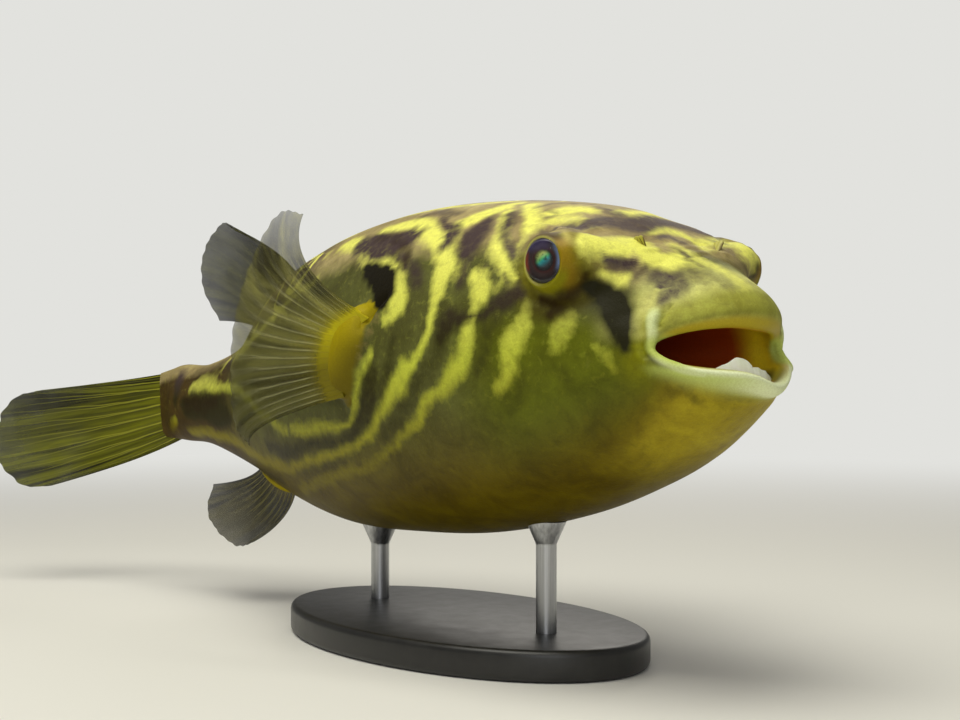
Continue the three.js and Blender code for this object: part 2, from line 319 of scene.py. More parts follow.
def fork(group, place, rays, thick, forkAt):  # forking fin rays: x runs across the fin, y from root to rim
    across, along, _ = splitPlace(group, place)
    wobble = noiseNode(group, place, 3.0, 2.0)
    centred = mathNode(group, "FRACT", across * rays + wobble * 0.5) - 0.5
    spread = mathNode(group, "MAXIMUM", along - forkAt, 0.0)
    reach = abs(abs(centred) - spread * 0.38) * (along * 2.2 + 0.6)
    return {"Ray": (1.0 - reach / thick).clamped(), "Across": across, "Along": along}


ragInputs = {"Mask": 0.0, "Place": None, "Scale": 0.2, "Rag": 0.6, "Sharpness": 2.5}
raggedEdge = newGroup("raggedEdge", ragInputs, breakUp)
skinGrain = newGroup("skinGrain", {"Place": None}, granulate)
finRays = newGroup("finRays", {"Place": None, "Rays": 16.0, "Thick": 0.13, "Fork": 0.3}, fork)

# the fish's own frame: back from the lips, out to the left side, and up, in mm and degrees
stance = {
    "noseUp": 4.7, "tailTurn": 14, "turnStart": 165, "turnEnd": 410, "spineStart": -40, "spineEnd": 520,
}
eye = {"back": 51.5, "side": 44.5, "up": 29.5, "radius": 9.45, "aim": 8}
spineBack = np.linspace(stance["spineStart"], stance["spineEnd"], 2241)
spineTurn = math.radians(stance["tailTurn"]) * ease(spineBack, stance["turnStart"], stance["turnEnd"])


def runningSum(values):
    steps = (values[1:] + values[:-1]) / 2 * np.diff(spineBack)
    total = np.concatenate([[0], np.cumsum(steps)])
    return total - np.interp(0, spineBack, total)


spineX, spineY = -runningSum(np.cos(spineTurn)), -runningSum(np.sin(spineTurn))
tip = math.radians(stance["noseUp"])


def bend(points):  # bends the tail and tips the nose up, about the lips, in mm
    back, side, up = np.moveaxis(np.asarray(points, float), -1, 0)
    turn = np.interp(back, spineBack, spineTurn)
    x = np.interp(back, spineBack, spineX) - side * np.sin(turn)
    y = np.interp(back, spineBack, spineY) + side * np.cos(turn)
    return np.stack([x * math.cos(tip) - up * math.sin(tip), y, x * math.sin(tip) + up * math.cos(tip)], -1)


def middle(node):
    low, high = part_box(node)
    return np.array((low + high) / 2)


lips = (middle("eye_right") + middle("eye_left")) / 2 - bend([eye["back"], 0, eye["up"]]) * mm


def posed(points):  # from the fish's own frame to the model's, in metres
    return lips + bend(points) * mm


camera = {"from": (0.3654, -0.3909, -0.0082), "looks": (-0.7986, 0.6018, 0.0), "lens": 60, "sensor": 36}
bpy.ops.object.camera_add(location=lips + np.array(camera["from"]))
scene.camera = bpy.context.object
scene.camera.data.lens = camera["lens"]
scene.camera.data.sensor_width = camera["sensor"]
scene.camera.rotation_euler = Vector(camera["looks"]).to_track_quat("-Z", "Y").to_euler()
scene.camera.data.clip_start = 0.01
scene.view_settings.view_transform = "Standard"

skin = {
    "around": 208,
    # back, half width, top, bottom, widest level, set-back of the sides,
    # squareness above and below, underhang
    "rings": {
        "throat end": (62, 9, 2, -9, -3, 1, 2, 2, 0),
        "throat": (36, 20, 8, -14, -3, 6, 2.1, 2, 0),
        "gum": (14, 27.5, 7.5, -14, -3, 13, 2.3, 2.2, 1.5),
        "lip inside": (4.5, 28, 3.4, -11.5, -3, 17, 2.4, 2.3, 3),
        "lip crest": (0, 31, 8, -13, -3, 20, 2.4, 2.3, 3.5),
        "lip outside": (3, 34, 14, -17.3, -1, 21, 2.1, 2.2, 3.5),
        "snout": (10, 36.5, 20.2, -24, 0, 19.5, 1.9, 2.1, 3),
        "nostril": (25, 41.8, 29.5, -34.4, 1, 13, 2.05, 2.1, 1),
        "brow": (40, 46.3, 38.8, -42.6, 1.5, 9.5, 2.26, 2.1, 0.3),
        "eye": (60, 50, 51.2, -50, 2, 6, 2.36, 2.1, 0),
        "cheek": (96, 56, 60.2, -59, 0, 0, 2.4, 2.1, 0),
        "gill": (143, 60, 66.5, -65, -1, 0, 2.3, 2.1, 0),
        "shoulder": (187, 58, 68, -65, -3, 0, 2.2, 2.1, 0),
        "belly": (231, 51, 65, -62, -2, 0, 2.1, 2.1, 0),
        "vent": (274, 39, 55, -52, 1, 0, 2, 2, 0),
        "rump": (312, 26, 29, -36, -2, 0, 2, 2, 0),
        "stalk": (350, 17, 19, -22, -1, 0, 2, 2, 0),
        "tail root": (373, 11, 20, -18.5, 1, 0, 2, 2, 0),
        "tail wedge": (383, 6.5, 18.8, -17, 1, 0, 2, 2, 0),
        "tail end": (395, 1.2, 17, -15.5, 1, 0, 2, 2, 0),
    },
    # rings in each stretch
    "steps": [8, 10, 12, 10, 12, 14, 20, 22, 24, 38, 30, 26, 26, 24, 24, 22, 16, 8, 8],
}
ringTable = np.array(list(skin["rings"].values()), float)
throat, gum, lipInside, lipCrest, lipOutside, snout, nostril = range(1, 8)  # the rings' places in the table


def ringPoint(ring, turn):  # turn is 90 along the top, 180 on the right side, 270 under the belly
    columns = np.moveaxis(through(ringTable, ring), -1, 0)
    back, half, top, bottom, widest, corner, above, below, under = columns
    angle = np.radians(turn)
    power = 2 / np.where(np.sin(angle) > 0, above, below)
    across = np.sign(np.cos(angle)) * np.abs(np.cos(angle)) ** power
    along = np.sign(np.sin(angle)) * np.abs(np.sin(angle)) ** power
    height = np.where(along > 0, top - widest, widest - bottom)
    depth = back + corner * across ** 2 - under * np.maximum(-along, 0)
    return np.stack([depth, half * across, widest + height * along], -1)


def layRings():  # a grid rolled up into the fish's body, laid straight
    last = len(ringTable) - 1
    rings = np.concatenate([i + np.arange(n) / n for i, n in enumerate(skin["steps"])] + [[last]])
    piece, along, around = addGrid(len(rings) - 1, skin["around"])
    column = np.rint(along * (len(rings) - 1)).astype(int)
    turn = around * 360 - 90
    points = ringPoint(rings[column], turn)
    for end in (0, len(rings) - 1):  # both ends close on their middles
        points[column == end] = ringPoint(rings[end], np.array([0.0, 180.0])).mean(0)
    storeMask(piece, "ring", rings[column])
    setPlaces(piece, points)
    inEdit(piece, lambda: turnOut(merge=1e-4))
    return piece


def refineNear(piece, places, reach):  # more faces where small forms need them
    def split():
        selectFaces(piece, lambda c: any((c - Vector(p)).length < reach for p in places))
        bpy.ops.mesh.subdivide(number_cuts=1)
    inEdit(piece, split)


def trackDistance(points, track, reach=2.5):
    # for each point: the distance to a track, how far along it is nearest, and the half width there
    track = np.asarray(track, float)
    margin = track[:, 3].max() * reach + 2
    near = ((points > track[:, :3].min(0) - margin) & (points < track[:, :3].max(0) + margin)).all(1)
    gap, share, half = np.full(len(points), 1e3), np.zeros(len(points)), np.ones(len(points))
    close = points[near]
    best, along, width = gap[near], share[near], half[near]
    for i, (start, end) in enumerate(zip(track[:-1], track[1:])):
        way = (end - start)[:3]
        t = np.clip((close - start[:3]) @ way / max(way @ way, 1e-9), 0, 1)
        away = np.linalg.norm(close - start[:3] - t[:, None] * way, axis=1)
        nearer = away < best
        best[nearer] = away[nearer]
        along[nearer] = ((i + t) / (len(track) - 1))[nearer]
        width[nearer] = (start[3] + (end[3] - start[3]) * t)[nearer]
    gap[near], share[near], half[near] = best, along, width
    return gap, share, half


def denser(track, count=5):  # a smooth track with more points
    at = np.linspace(0, len(track) - 1, (len(track) - 1) * count + 1)
    return through(np.array(track, float), at)


def onSkin(points, track, count=5):  # a smooth track, each place of it moved to the nearest of the points
    line = denser(track, count)
    line[:, :3] = [points[np.argmin(((points - spot) ** 2).sum(1))] for spot in line[:, :3]]
    return line


def mirrored(track):
    return [(back, -side, up, half) for back, side, up, half in track]


def wander(points, size, seed):  # a smooth random shift of -1 to 1 each way, that varies over a size in mm
    lattice = np.random.default_rng(seed).uniform(-1, 1, (24, 24, 24, 3))
    cell = np.asarray(points) / size
    base = np.floor(cell).astype(int)
    t = ease(cell - base, 0, 1)
    shift = np.zeros((len(cell), 3))
    for corner in np.ndindex(2, 2, 2):
        share = np.prod(np.where(corner, t, 1 - t), axis=1)
        x, y, z = ((base + corner) % 24).T
        shift += share[:, None] * lattice[x, y, z]
    return shift


eyeSwell = {  # the swelling's section: distance from the eye's axis, and height along it
    "reach": [7.2, 8.2, 9.2, 10.2, 11.6, 13.4, 16, 19],
    "height": [4.7, 4.8, 4.0, 2.2, -1.0, -5.2, -10.5, -14],
    "front": 0.5, "top": 0.5, "inner": 7.6, "band": 0.4, "sink": -2, "blend": 2.0, "deepest": -26,
    "finer": 16.5, "finest": 11.5,  # how far from the eye the faces are split once, and twice
    "hood": (0.6, 9, 1.6), "roll": (0.5, 9.2, 0.8), "crease": (-0.8, 12, 0.9),  # height, distance and width
    # where the foot is softened, by distance and by depth, and how often and how much
    "softReach": (12, 16, 30, 38), "softDepth": (-3, -8, -28, -36), "softRounds": 40, "softShare": 0.6,
}


def eyeMiddle(hand):
    return np.array([eye["back"], hand * eye["side"], eye["up"]])


def eyeAxis(hand, turn=eye["aim"]):
    turn = math.radians(turn)
    return np.array([-math.sin(turn), hand * math.cos(turn), 0])


def fromEye(points, hand):  # out along the eye's axis, away from it, and the shares ahead and above
    axis = eyeAxis(hand)
    offset = points - eyeMiddle(hand)
    out = offset @ axis
    flat = offset - out[:, None] * axis
    radius = np.linalg.norm(flat, axis=1)
    ahead, above = (flat[:, (0, 2)] * (-1, 1) / np.maximum(radius, 0.1)[:, None]).T
    return out, radius, ahead, above, flat


def swellEyes(points):  # the swelling round each eye, and the socket behind the ball
    points, sunk = points.copy(), np.zeros(len(points))
    look = eyeSwell
    edge, band = look["inner"], look["band"]
    section = [through(look[k], np.linspace(0, 7, 71)) for k in ("reach", "height")]
    for hand in (-1, 1):
        out, radius, ahead, above, flat = fromEye(points, hand)
        # the points nearest the lid's edge are drawn onto it, so that it comes out round
        steps = [-3 * band, -band, 0, band, 3 * band]
        drawn = np.interp(radius - edge, steps, [-3 * band, -0.1, 0, 0.1, 3 * band])
        close = (out > -20) & (np.abs(radius - edge) < 3 * band)
        shift = np.where(close, drawn + edge - radius, 0)
        points += flat * (shift / np.maximum(radius, 0.1))[:, None]
        socket = radius < edge
        radius = radius + shift
        spread = 1 + look["front"] * ease(ahead, 0.1, 1) * ease(above, 1, 0.2)
        squeezed = np.where(radius > edge, edge + (radius - edge) / spread, radius)
        squeezed += look["top"] * ease(above, 0.2, 1) * np.maximum(radius - 9.3, 0)
        wanted = np.interp(squeezed, *section)
        for name, start, end in (("hood", 0.2, 1), ("roll", 0.5, -0.4), ("crease", 0.1, 0.7)):
            height, at, width = look[name]
            wanted += height * ease(above, start, end) * hump(radius, at, width)
        foot = look["reach"][-1] * spread
        near = (radius < foot) & (out > look["deepest"])
        joined = look["blend"] * np.logaddexp(out / look["blend"], wanted / look["blend"])
        new = np.where(near, out + (joined - out) * ease(radius - foot, 0, -4), out)
        new = np.where(near & socket, look["sink"], new)
        sunk[near & socket] = 1
        points += (new - out)[:, None] * eyeAxis(hand)
    return points, sunk


def softenFoot(piece, points):  # the foot of each swelling runs softly into the head
    look = eyeSwell
    weight = np.zeros(len(points))
    for hand in (-1, 1):
        parts = 1
        for values, (a, b, c, d) in zip(fromEye(points, hand), (look["softDepth"], look["softReach"])):
            parts = parts * ease(values, a, b) * ease(values, d, c)
        weight = np.maximum(weight, parts)
    ends = readAll(piece.data.edges, "vertices", 2, np.int32)
    ends = ends[weight[ends].max(axis=1) > 0]
    ends = np.concatenate([ends, ends[:, ::-1]]).T
    count = np.maximum(np.bincount(ends[0], minlength=len(points)), 1)[:, None]
    points = points.copy()
    for _ in range(look["softRounds"]):
        total = np.stack([np.bincount(ends[0], points[ends[1], k], len(points)) for k in range(3)], 1)
        points += (total / count - points) * (weight * look["softShare"])[:, None]
    return points


mouthForm = {  # depth, side and half width
    "dip": (4.2, 5.5, 9.5),  # the lower lip sags before the teeth
    "cupid": (1.6, 8.0, 14.0),  # the upper lip's inner edge hangs lower
}


def shapeLips(points):
    points = points.copy()
    ring = readMask(body, "ring")
    side, low = points[:, 1], ease(points[:, 2], -3, -9)
    near = ease(ring, gum - 0.2, lipInside) * ease(ring, snout, lipCrest + 0.5)
    depth, at, half = mouthForm["dip"]
    points[:, 2] -= depth * hump(side, at, half) * near * low
    depth, at, half = mouthForm["cupid"]
    points[:, 2] -= depth * hump(side, at, half) * hump(ring, lipInside, 0.7) * ease(points[:, 2], -2, 2)
    return points


# low folds and creases: height in mm (a crease when under 0), and points with a half width each
folds = {
    "curtain": (1.35, [(19.6, -28.6, 12.4, 1.5), (18.8, -29.9, 9.4, 2.1), (18.2, -31.5, 6, 2.2),
        (18, -31.8, 2, 1.8), (17.7, -30.8, -2, 1.6), (15.8, -30, -5, 1.6), (13.8, -29, -7.5, 1.6),
        (11.9, -27.4, -9.3, 1.5), (9.5, -24.5, -10.9, 1.3), (6.2, -20.5, -12.3, 1.0)]),
    "curtain crease": (-1.5, [(15.6, -24.5, 12, 0.9), (16.2, -25.9, 10.3, 1.1), (16.7, -27.4, 7.6, 1.1),
        (17.5, -28.3, 5.1, 0.9), (18, -28.9, 2.5, 0.8)]),
    "corner fold": (0.9, [(20.7, -32.8, -5.8, 1.3), (20.3, -32.4, -8.5, 1.3), (19.9, -31.7, -11.8, 1.3),
        (20.5, -31, -15.1, 1)]),
    "corner groove": (-1.1, [(23, -31.6, 10, 2.0), (22.6, -32.6, 5.2, 2.0), (22.2, -33, 0.2, 1.8),
        (21, -33, -3.9, 1.6), (19.2, -32.3, -7.6, 1.4), (17.6, -30.1, -11, 1.4)]),
    "lip groove": (-0.35, [(18.5, -29, -14.5, 2.2), (14.8, -25.5, -17.5, 2.4), (10.8, -20.7, -20, 2.4),
        (6, -12, -22, 2.2), (3, 0, -23, 2)]),
    "lip wrinkle one": (-0.5, [(17.5, -28.5, -12.5, 0.8), (16.5, -27.5, -15.5, 0.8),
        (17, -27, -18, 0.7)]),
    "lip wrinkle two": (-0.45, [(14.5, -25, -14.5, 0.8), (14.2, -24.5, -17.5, 0.8),
        (14.8, -24, -20, 0.7)]),
    "lip wrinkle three": (-0.4, [(11.2, -21, -16, 0.8), (11, -20.5, -19, 0.8), (12, -20, -22, 0.7)]),
    "brow roll": (0.7, [(74, -39.5, 42, 2), (74, -36.5, 45, 2.2), (71, -34, 46, 2.3), (63, -34, 44, 2.2),
        (54, -36, 41.5, 2)]),
    "brow crease": (-0.6, [(78, -34.1, 47, 1.4), (74, -31.1, 48, 1.4), (67.5, -30.2, 46.3, 1.3),
        (59.8, -31, 43, 1.4), (50, -34, 40.5, 1.4)]),
    "brow ridge": (0.6, [(44, -42, 36, 6), (40, -38.5, 35.5, 7), (35, -32, 34, 6.5),
        (32, -25, 32.5, 5)]),
    "cheek hollow": (-1.4, [(42, -43.5, 22, 6), (39, -38, 20.5, 7), (34.7, -35, 16.8, 7),
        (30.4, -33.8, 10.3, 5.5)]),
    "cheek step": (-0.7, [(26, -31, 18, 2.5), (25.3, -33.4, 12, 2.5), (25, -34.5, 5, 2.5),
        (25, -34.5, -2, 2.5)]),
    "mound foot": (-0.9, [(64, -47, 20.6, 2.5), (55.6, -45, 16, 3), (48.6, -41.6, 14.8, 3.3),
        (42.6, -38.7, 17, 3.3), (38, -37, 21.5, 3)]),
    "nostril rim": (0.8, [(39.5, -16.5, 38, 1.3), (36, -19.5, 34.5, 1.3), (32.5, -19.5, 31.5, 1.3),
        (31.5, -16, 31.5, 1.3), (33.5, -12.5, 33.6, 1.2)]),
    "snout wrinkle one": (-0.55, [(41.2, -12.7, 38.3, 0.9), (38.2, -13.9, 35.7, 0.9),
        (34.8, -14.4, 33.5, 0.8)]),
    "snout wrinkle two": (-0.5, [(42.1, -9, 39.7, 0.9), (38.1, -11.1, 36.6, 0.9),
        (35.2, -11.1, 34.8, 0.8)]),
    "snout wrinkle three": (-0.5, [(26.3, -20.6, 25, 0.8), (27.1, -15.6, 28, 0.8),
        (27.9, -10.9, 30, 0.9)]),
    "gill edge": (1.5, [(131, -56, 27, 1.6), (135.7, -57.4, 22.6, 2.2), (139.3, -58.9, 19.2, 2.2),
        (142.9, -59.9, 14.9, 2), (144.5, -61.8, 10.5, 1.8), (146.5, -63.5, 5.7, 1.6)]),
    "gill slit": (-1.8, [(134, -56, 28, 1), (137.6, -57.4, 25, 1.2), (141.3, -58.7, 21.9, 1.2),
        (143.3, -61.2, 18.4, 1.1), (145, -62.9, 14, 1)]),
    "brow dip": (-1.9, [(55.5, -30.5, 45, 3.2), (52, -31.5, 44, 3.6), (48, -33, 42.2, 3.6),
        (44, -33.5, 40, 3)]),
    "mound top": (-1.0, [(51, -42.5, 41, 3), (47, -44.5, 39.5, 3), (43.5, -46.5, 37, 3)]),
    "tail ridge": (0.5, [(300, -28, 2, 5), (330, -20, 1, 5), (365, -12, 1, 4)]),
}
snoutWrinkles = {"count": 11, "from": 15, "to": 36, "half": 0.8, "height": -0.32}


def foldSkin(points, normals):
    shift = np.zeros(len(points))
    ring = readMask(body, "ring")
    tracks = [(height, side) for height, track in folds.values() for side in (track, mirrored(track))]
    rng = np.random.default_rng(7)
    look = snoutWrinkles
    for i in range(look["count"]):  # short slanting wrinkles across the top of the snout
        back = look["from"] + (look["to"] - look["from"]) * i / look["count"]
        side = rng.uniform(-13, 13)
        tracks.append((look["height"], [
            (back + k * 1.6 + rng.uniform(-1, 1), side + (k - 1.5) * rng.uniform(3, 5), 40, look["half"])
            for k in range(4)
        ]))
    for height, track in tracks:
        gap, share, half = trackDistance(points, onSkin(points[ring > lipInside + 0.6], track), 3)
        ends = ease(share, 0, 0.2) * ease(share, 1, 0.8)
        shift += height * hump(gap, 0, half) * np.where(half > 2.4, 1, ends)  # only narrow folds taper off
    return points + normals * shift[:, None] * (ring > lipInside + 0.3)[:, None]


# fleshy lobes that carry the fins: points with the radius there
lobes = {
    "pectoral": [(146, 58, 22, 4), (153, 61, 15, 8.5), (159, 62, 4, 9), (160, 61.5, -4, 7.5),
                 (160, 61, -10, 3)],
    "dorsal": [(279, 0, 50, 3), (290, 0, 44, 5), (302, 0, 34, 5), (312, 0, 27, 2.5)],
    "anal": [(292, 0, -44, 3), (300, 0, -40, 5), (309, 0, -35, 4.5), (317, 0, -31, 2.5)],
}
lobeForm = {"domed": 1.25, "foot": 0.25, "soft": 2.5, "reach": 2.4}


def growLobes(points, normals):
    lobeMask, shift = np.zeros(len(points)), np.zeros(len(points))
    look = lobeForm
    for track in (*lobes.values(), mirrored(lobes["pectoral"])):
        gap, share, radius = trackDistance(points, denser(track, 8), 2.6)
        rise = radius * np.sqrt(np.clip(1 - (gap / (radius * look["domed"])) ** 2, 0, 1))
        foot = radius * look["foot"] * np.exp(-np.maximum(gap - radius, 0) / look["soft"])
        taper = ease(share, 0, 0.06) * ease(share, 1, 0.94)
        lift = np.maximum(rise, foot * ease(gap, radius * look["reach"], radius)) * (0.35 + 0.65 * taper)
        shift = np.maximum(shift, np.where(gap < radius * look["reach"], lift, 0))
        lobeMask = np.maximum(lobeMask, ease(gap, radius * 1.4, radius * 0.95))
    return points + normals * shift[:, None], lobeMask


body = layRings()
socketMiddles = [(eye["back"], hand * (eye["side"] - 3), eye["up"]) for hand in (-1, 1)]
refineNear(body, [(back - 1, side * 0.92, up + 1) for back, side, up in socketMiddles], eyeSwell["finer"])
refineNear(body, socketMiddles, eyeSwell["finest"])
straight = getPlaces(body)
swollen, sunk = swellEyes(shapeLips(straight))
setPlaces(body, softenFoot(body, swollen))
lobed, lobeMask = growLobes(getPlaces(body), outward(body))
setPlaces(body, lobed)
setPlaces(body, foldSkin(getPlaces(body), outward(body)))
onFish = getPlaces(body)
storeMask(body, "lobe", lobeMask)
storeVector(body, "fishPlace", onFish)
print("skin shaped:", len(onFish), "points")


# markings, with a few painted highlights and painted shades among them: strength, and points on the right
# side with a half width each
paleMarks = {
    "far mound crown": (1, [(47, 33, 40, 3), (42, 33, 39, 4), (37, 34, 36, 4), (41, 39, 38, 4.5),
        (47, 43, 39, 4)]),
    "far mound face": (0.9, [(33, 31.5, 33.5, 2.5), (36, 36, 33, 3.5), (39, 42, 32, 3)]),
    "far mound front": (0.45, [(30.5, 28, 29.5, 2.5), (35, 35, 30, 3), (37.5, 39.5, 29, 2.5)]),
    "main stripe top": (1, [(168.5, -34, 58, 3), (144, -36, 57, 5), (118, -44, 46, 4), (110, -48, 41, 4.5),
        (106, -50, 36, 5), (104, -52, 31, 5), (105.5, -55, 22.5, 2.5), (106.5, -56, 18, 2.2)]),
    "main stripe": (1, [(106.5, -56, 18, 2.2), (109, -57, 10, 1.8), (115.5, -58, 2, 2), (120, -59, 0, 3),
        (126, -59, -6, 4), (135.5, -59, -13, 2.5), (147, -57.5, -22, 2.5), (156.5, -56, -26, 2.4)]),
    "main stripe low": (0.95, [(156.5, -56, -26, 2), (167, -54.5, -29.5, 2), (199.5, -50.5, -32, 2.2),
        (219, -47, -33.5, 2), (238, -41.5, -35.5, 2.5), (250, -37.5, -35, 2)]),
    "tail stripe": (0.95, [(238, -41.5, -35.5, 3), (260.5, -35, -33, 3), (284.5, -28, -29.5, 3),
        (299, -24, -25.5, 3), (310, -22, -21.5, 3), (343.5, -14, -16, 3), (359.5, -10, -14.5, 3)]),
    "tail spot": (1, [(372, -9.5, -9, 2), (380, -6, -12, 4), (380, -4, -15, 3.5)]),
    "gill stripe top": (0.9, [(201, -34, 56, 3.5), (189, -36, 55, 5), (171, -43, 50, 3), (158, -48, 44, 3),
        (150, -48, 44, 3.5), (140.5, -50.5, 40.5, 1.8), (135, -51.5, 38, 1.6)]),
    "gill stripe": (1, [(129.5, -52, 36.5, 3), (131, -53, 34, 4), (131, -55, 30, 4.5), (128, -56, 26, 5),
        (128, -57, 22, 4), (134, -58.5, 17, 1.6)]),
    "rear stripe": (0.9, [(141, -60, 7, 1.2), (144, -60.5, 3, 1.8), (149, -60.5, -1.5, 1.8),
        (155.5, -60, -9.5, 1.6), (156.5, -59, -14, 2), (167, -57.5, -21, 1.2), (193, -55.5, -20.5, 3),
        (217.5, -52, -19.5, 2.2)]),
    "crown band": (1, [(97, -18.5, 58.5, 2), (101, -22, 58, 3.5), (101, -28, 56, 5), (105, -32, 55, 5),
        (108, -36, 53, 5), (111, -38, 51, 3.5), (112.5, -41.5, 49, 3)]),
    "crown patch": (1, [(89, -22, 56, 4), (80, -28, 51.5, 3), (76, -32, 48, 4), (73, -36.5, 44.5, 2.5)]),
    "behind the eye": (0.95, [(94, -29.5, 54, 2), (84.5, -39.5, 45, 2.4), (83, -43, 40, 3), (80, -45, 36, 3),
        (70, -47.5, 26, 1.6)]),
    "cheek patch": (0.95, [(88, -50.5, 29, 2.2), (84, -51, 26, 4), (83, -52, 22, 4.5),
        (85.5, -53, 17, 1.6)]),
    "third stripe": (0.9, [(86, -53.5, 15, 1.6), (88, -55, 8, 3.5), (91, -55, -1, 3.5), (98, -56, -8, 3.5),
        (111, -56.5, -14.5, 2.5), (125, -55.5, -23, 2.2)]),
    "third stripe low": (0.6, [(125, -55.5, -23, 2), (134.5, -54.5, -28, 2), (148, -53, -33, 1.8),
        (166, -51, -37, 2.2), (213, -43, -42, 2.5), (241.5, -32.5, -46, 2.4)]),
    "fourth stripe": (0.85, [(62.5, -48, 15.5, 1.6), (63, -49, 11, 3), (65, -50, 7, 3.5), (68, -50, 3, 4.5),
        (70, -51, -1, 4), (70, -50, -5, 3.5), (72.5, -50.5, -9, 2.4), (77.5, -51, -13, 1.8)]),
    "fifth stripe": (0.6, [(44, -43.5, 10.5, 2), (46, -45, 8, 4), (48, -46, 4, 4), (49.5, -46.5, 1.5, 2.4)]),
    "sixth stripe": (0.5, [(35, -40, -0.5, 1.2), (33, -39, -3, 2.4), (31, -37, -9, 1.6)]),
    "snout band": (1, [(46, -44, 38, 2), (38, -39, 35, 5.5), (36, -36, 34, 5), (33, -31, 34, 5.5),
        (36, -23, 34, 5.5), (35, -19, 34, 5.5)]),
    "snout band low": (1, [(35, -19, 34, 5.5), (30, -20, 30, 5), (27, -17, 27, 5), (25, -14, 27, 5.5),
        (25, -9, 29, 4)]),
    "snout spot": (1, [(37, -34.5, 23, 1.4), (35, -32.5, 21.5, 2), (32.5, -30.5, 21, 2.5),
        (30.5, -29, 22, 1.4)]),
    "crown front": (0.95, [(73, -25, 51, 3.5), (70, -21, 52, 5), (67, -18, 52, 5), (62, -16, 50, 3.5)]),
    "crown front low": (0.7, [(70.5, -35, 44.5, 2.5), (70, -30, 47, 3.5), (66, -27, 48, 4), (59, -27, 46, 4),
        (50.5, -29, 43, 3)]),
    "forehead": (0.8, [(56, -6, 49, 3.5), (55, 0, 49, 5), (59.5, 14.5, 49.5, 3)]),
    "far brow": (0.95, [(40.5, 15.5, 37, 3), (39, 21, 36, 4), (50, 40, 38, 4.5), (53, 49, 37, 4.5),
        (34, 34, 32, 3.5)]),
    "snout streak": (0.85, [(42.5, -7.5, 40, 2), (44, 0.5, 41.5, 3), (43, 7, 40, 3.5), (40, 12, 37, 3),
        (33, 10.5, 33.5, 3)]),
    "snout top": (0.7, [(33, -5.5, 34, 3), (27, -4, 30, 4), (15, 0, 24, 3.5)]),
    "stalk spot": (0.68, [(351, -16, 6, 3.5), (340, -18, 7, 5.5), (329, -21, 6, 4.5),
        (316.5, -24.5, 3.5, 2.5)]),
    "back line": (0.7, [(177, -20, 65, 2), (157, -19, 65, 3), (136, -19.5, 63.5, 3), (117, -18, 62, 3),
        (106, -13, 61, 2)]),
    "beige one": (0.45, [(110, -43, 47, 5), (106, -47, 41, 4.5), (102, -49.5, 36, 3), (96, -51, 31, 3)]),
    "beige two": (0.4, [(78, -50, 23.5, 2.5), (73, -48.5, 25, 2.5), (68.5, -48, 22.5, 1.6)]),
    "temple light": (0.5, [(73, -38.5, 41.5, 2), (72, -42.5, 36.5, 1.6), (70.5, -45, 31, 1.4)]),
    "rear upper": (0.75, [(206, -46, 42, 2), (228, -42, 36, 2), (250, -38, 28, 2), (300, -22, 16, 2)]),
    "rear flank": (0.7, [(224, -51, -20, 2), (246, -46, -14, 2), (268, -38, -6, 2), (292, -29, 2, 2),
        (320, -22, 4, 2)]),
    "rear back": (0.8, [(206, -22, 62, 2), (230, -20, 58, 2.2), (256, -16, 54, 2), (280, -9, 48, 2)]),
    # a painted highlight along the top of the snout
    "snout ridge highlight": (0.55, [(24, -17, 25, 3), (22, -9, 26, 4), (20, -2, 26, 4), (15, 0, 23, 4),
        (7, 0, 18, 3.5)]),
    "far mound top": (0.9, [(44.5, 31, 38.5, 3), (44, 36, 38, 3.5), (50, 47, 38, 3), (34.5, 34.5, 33, 2)]),
}
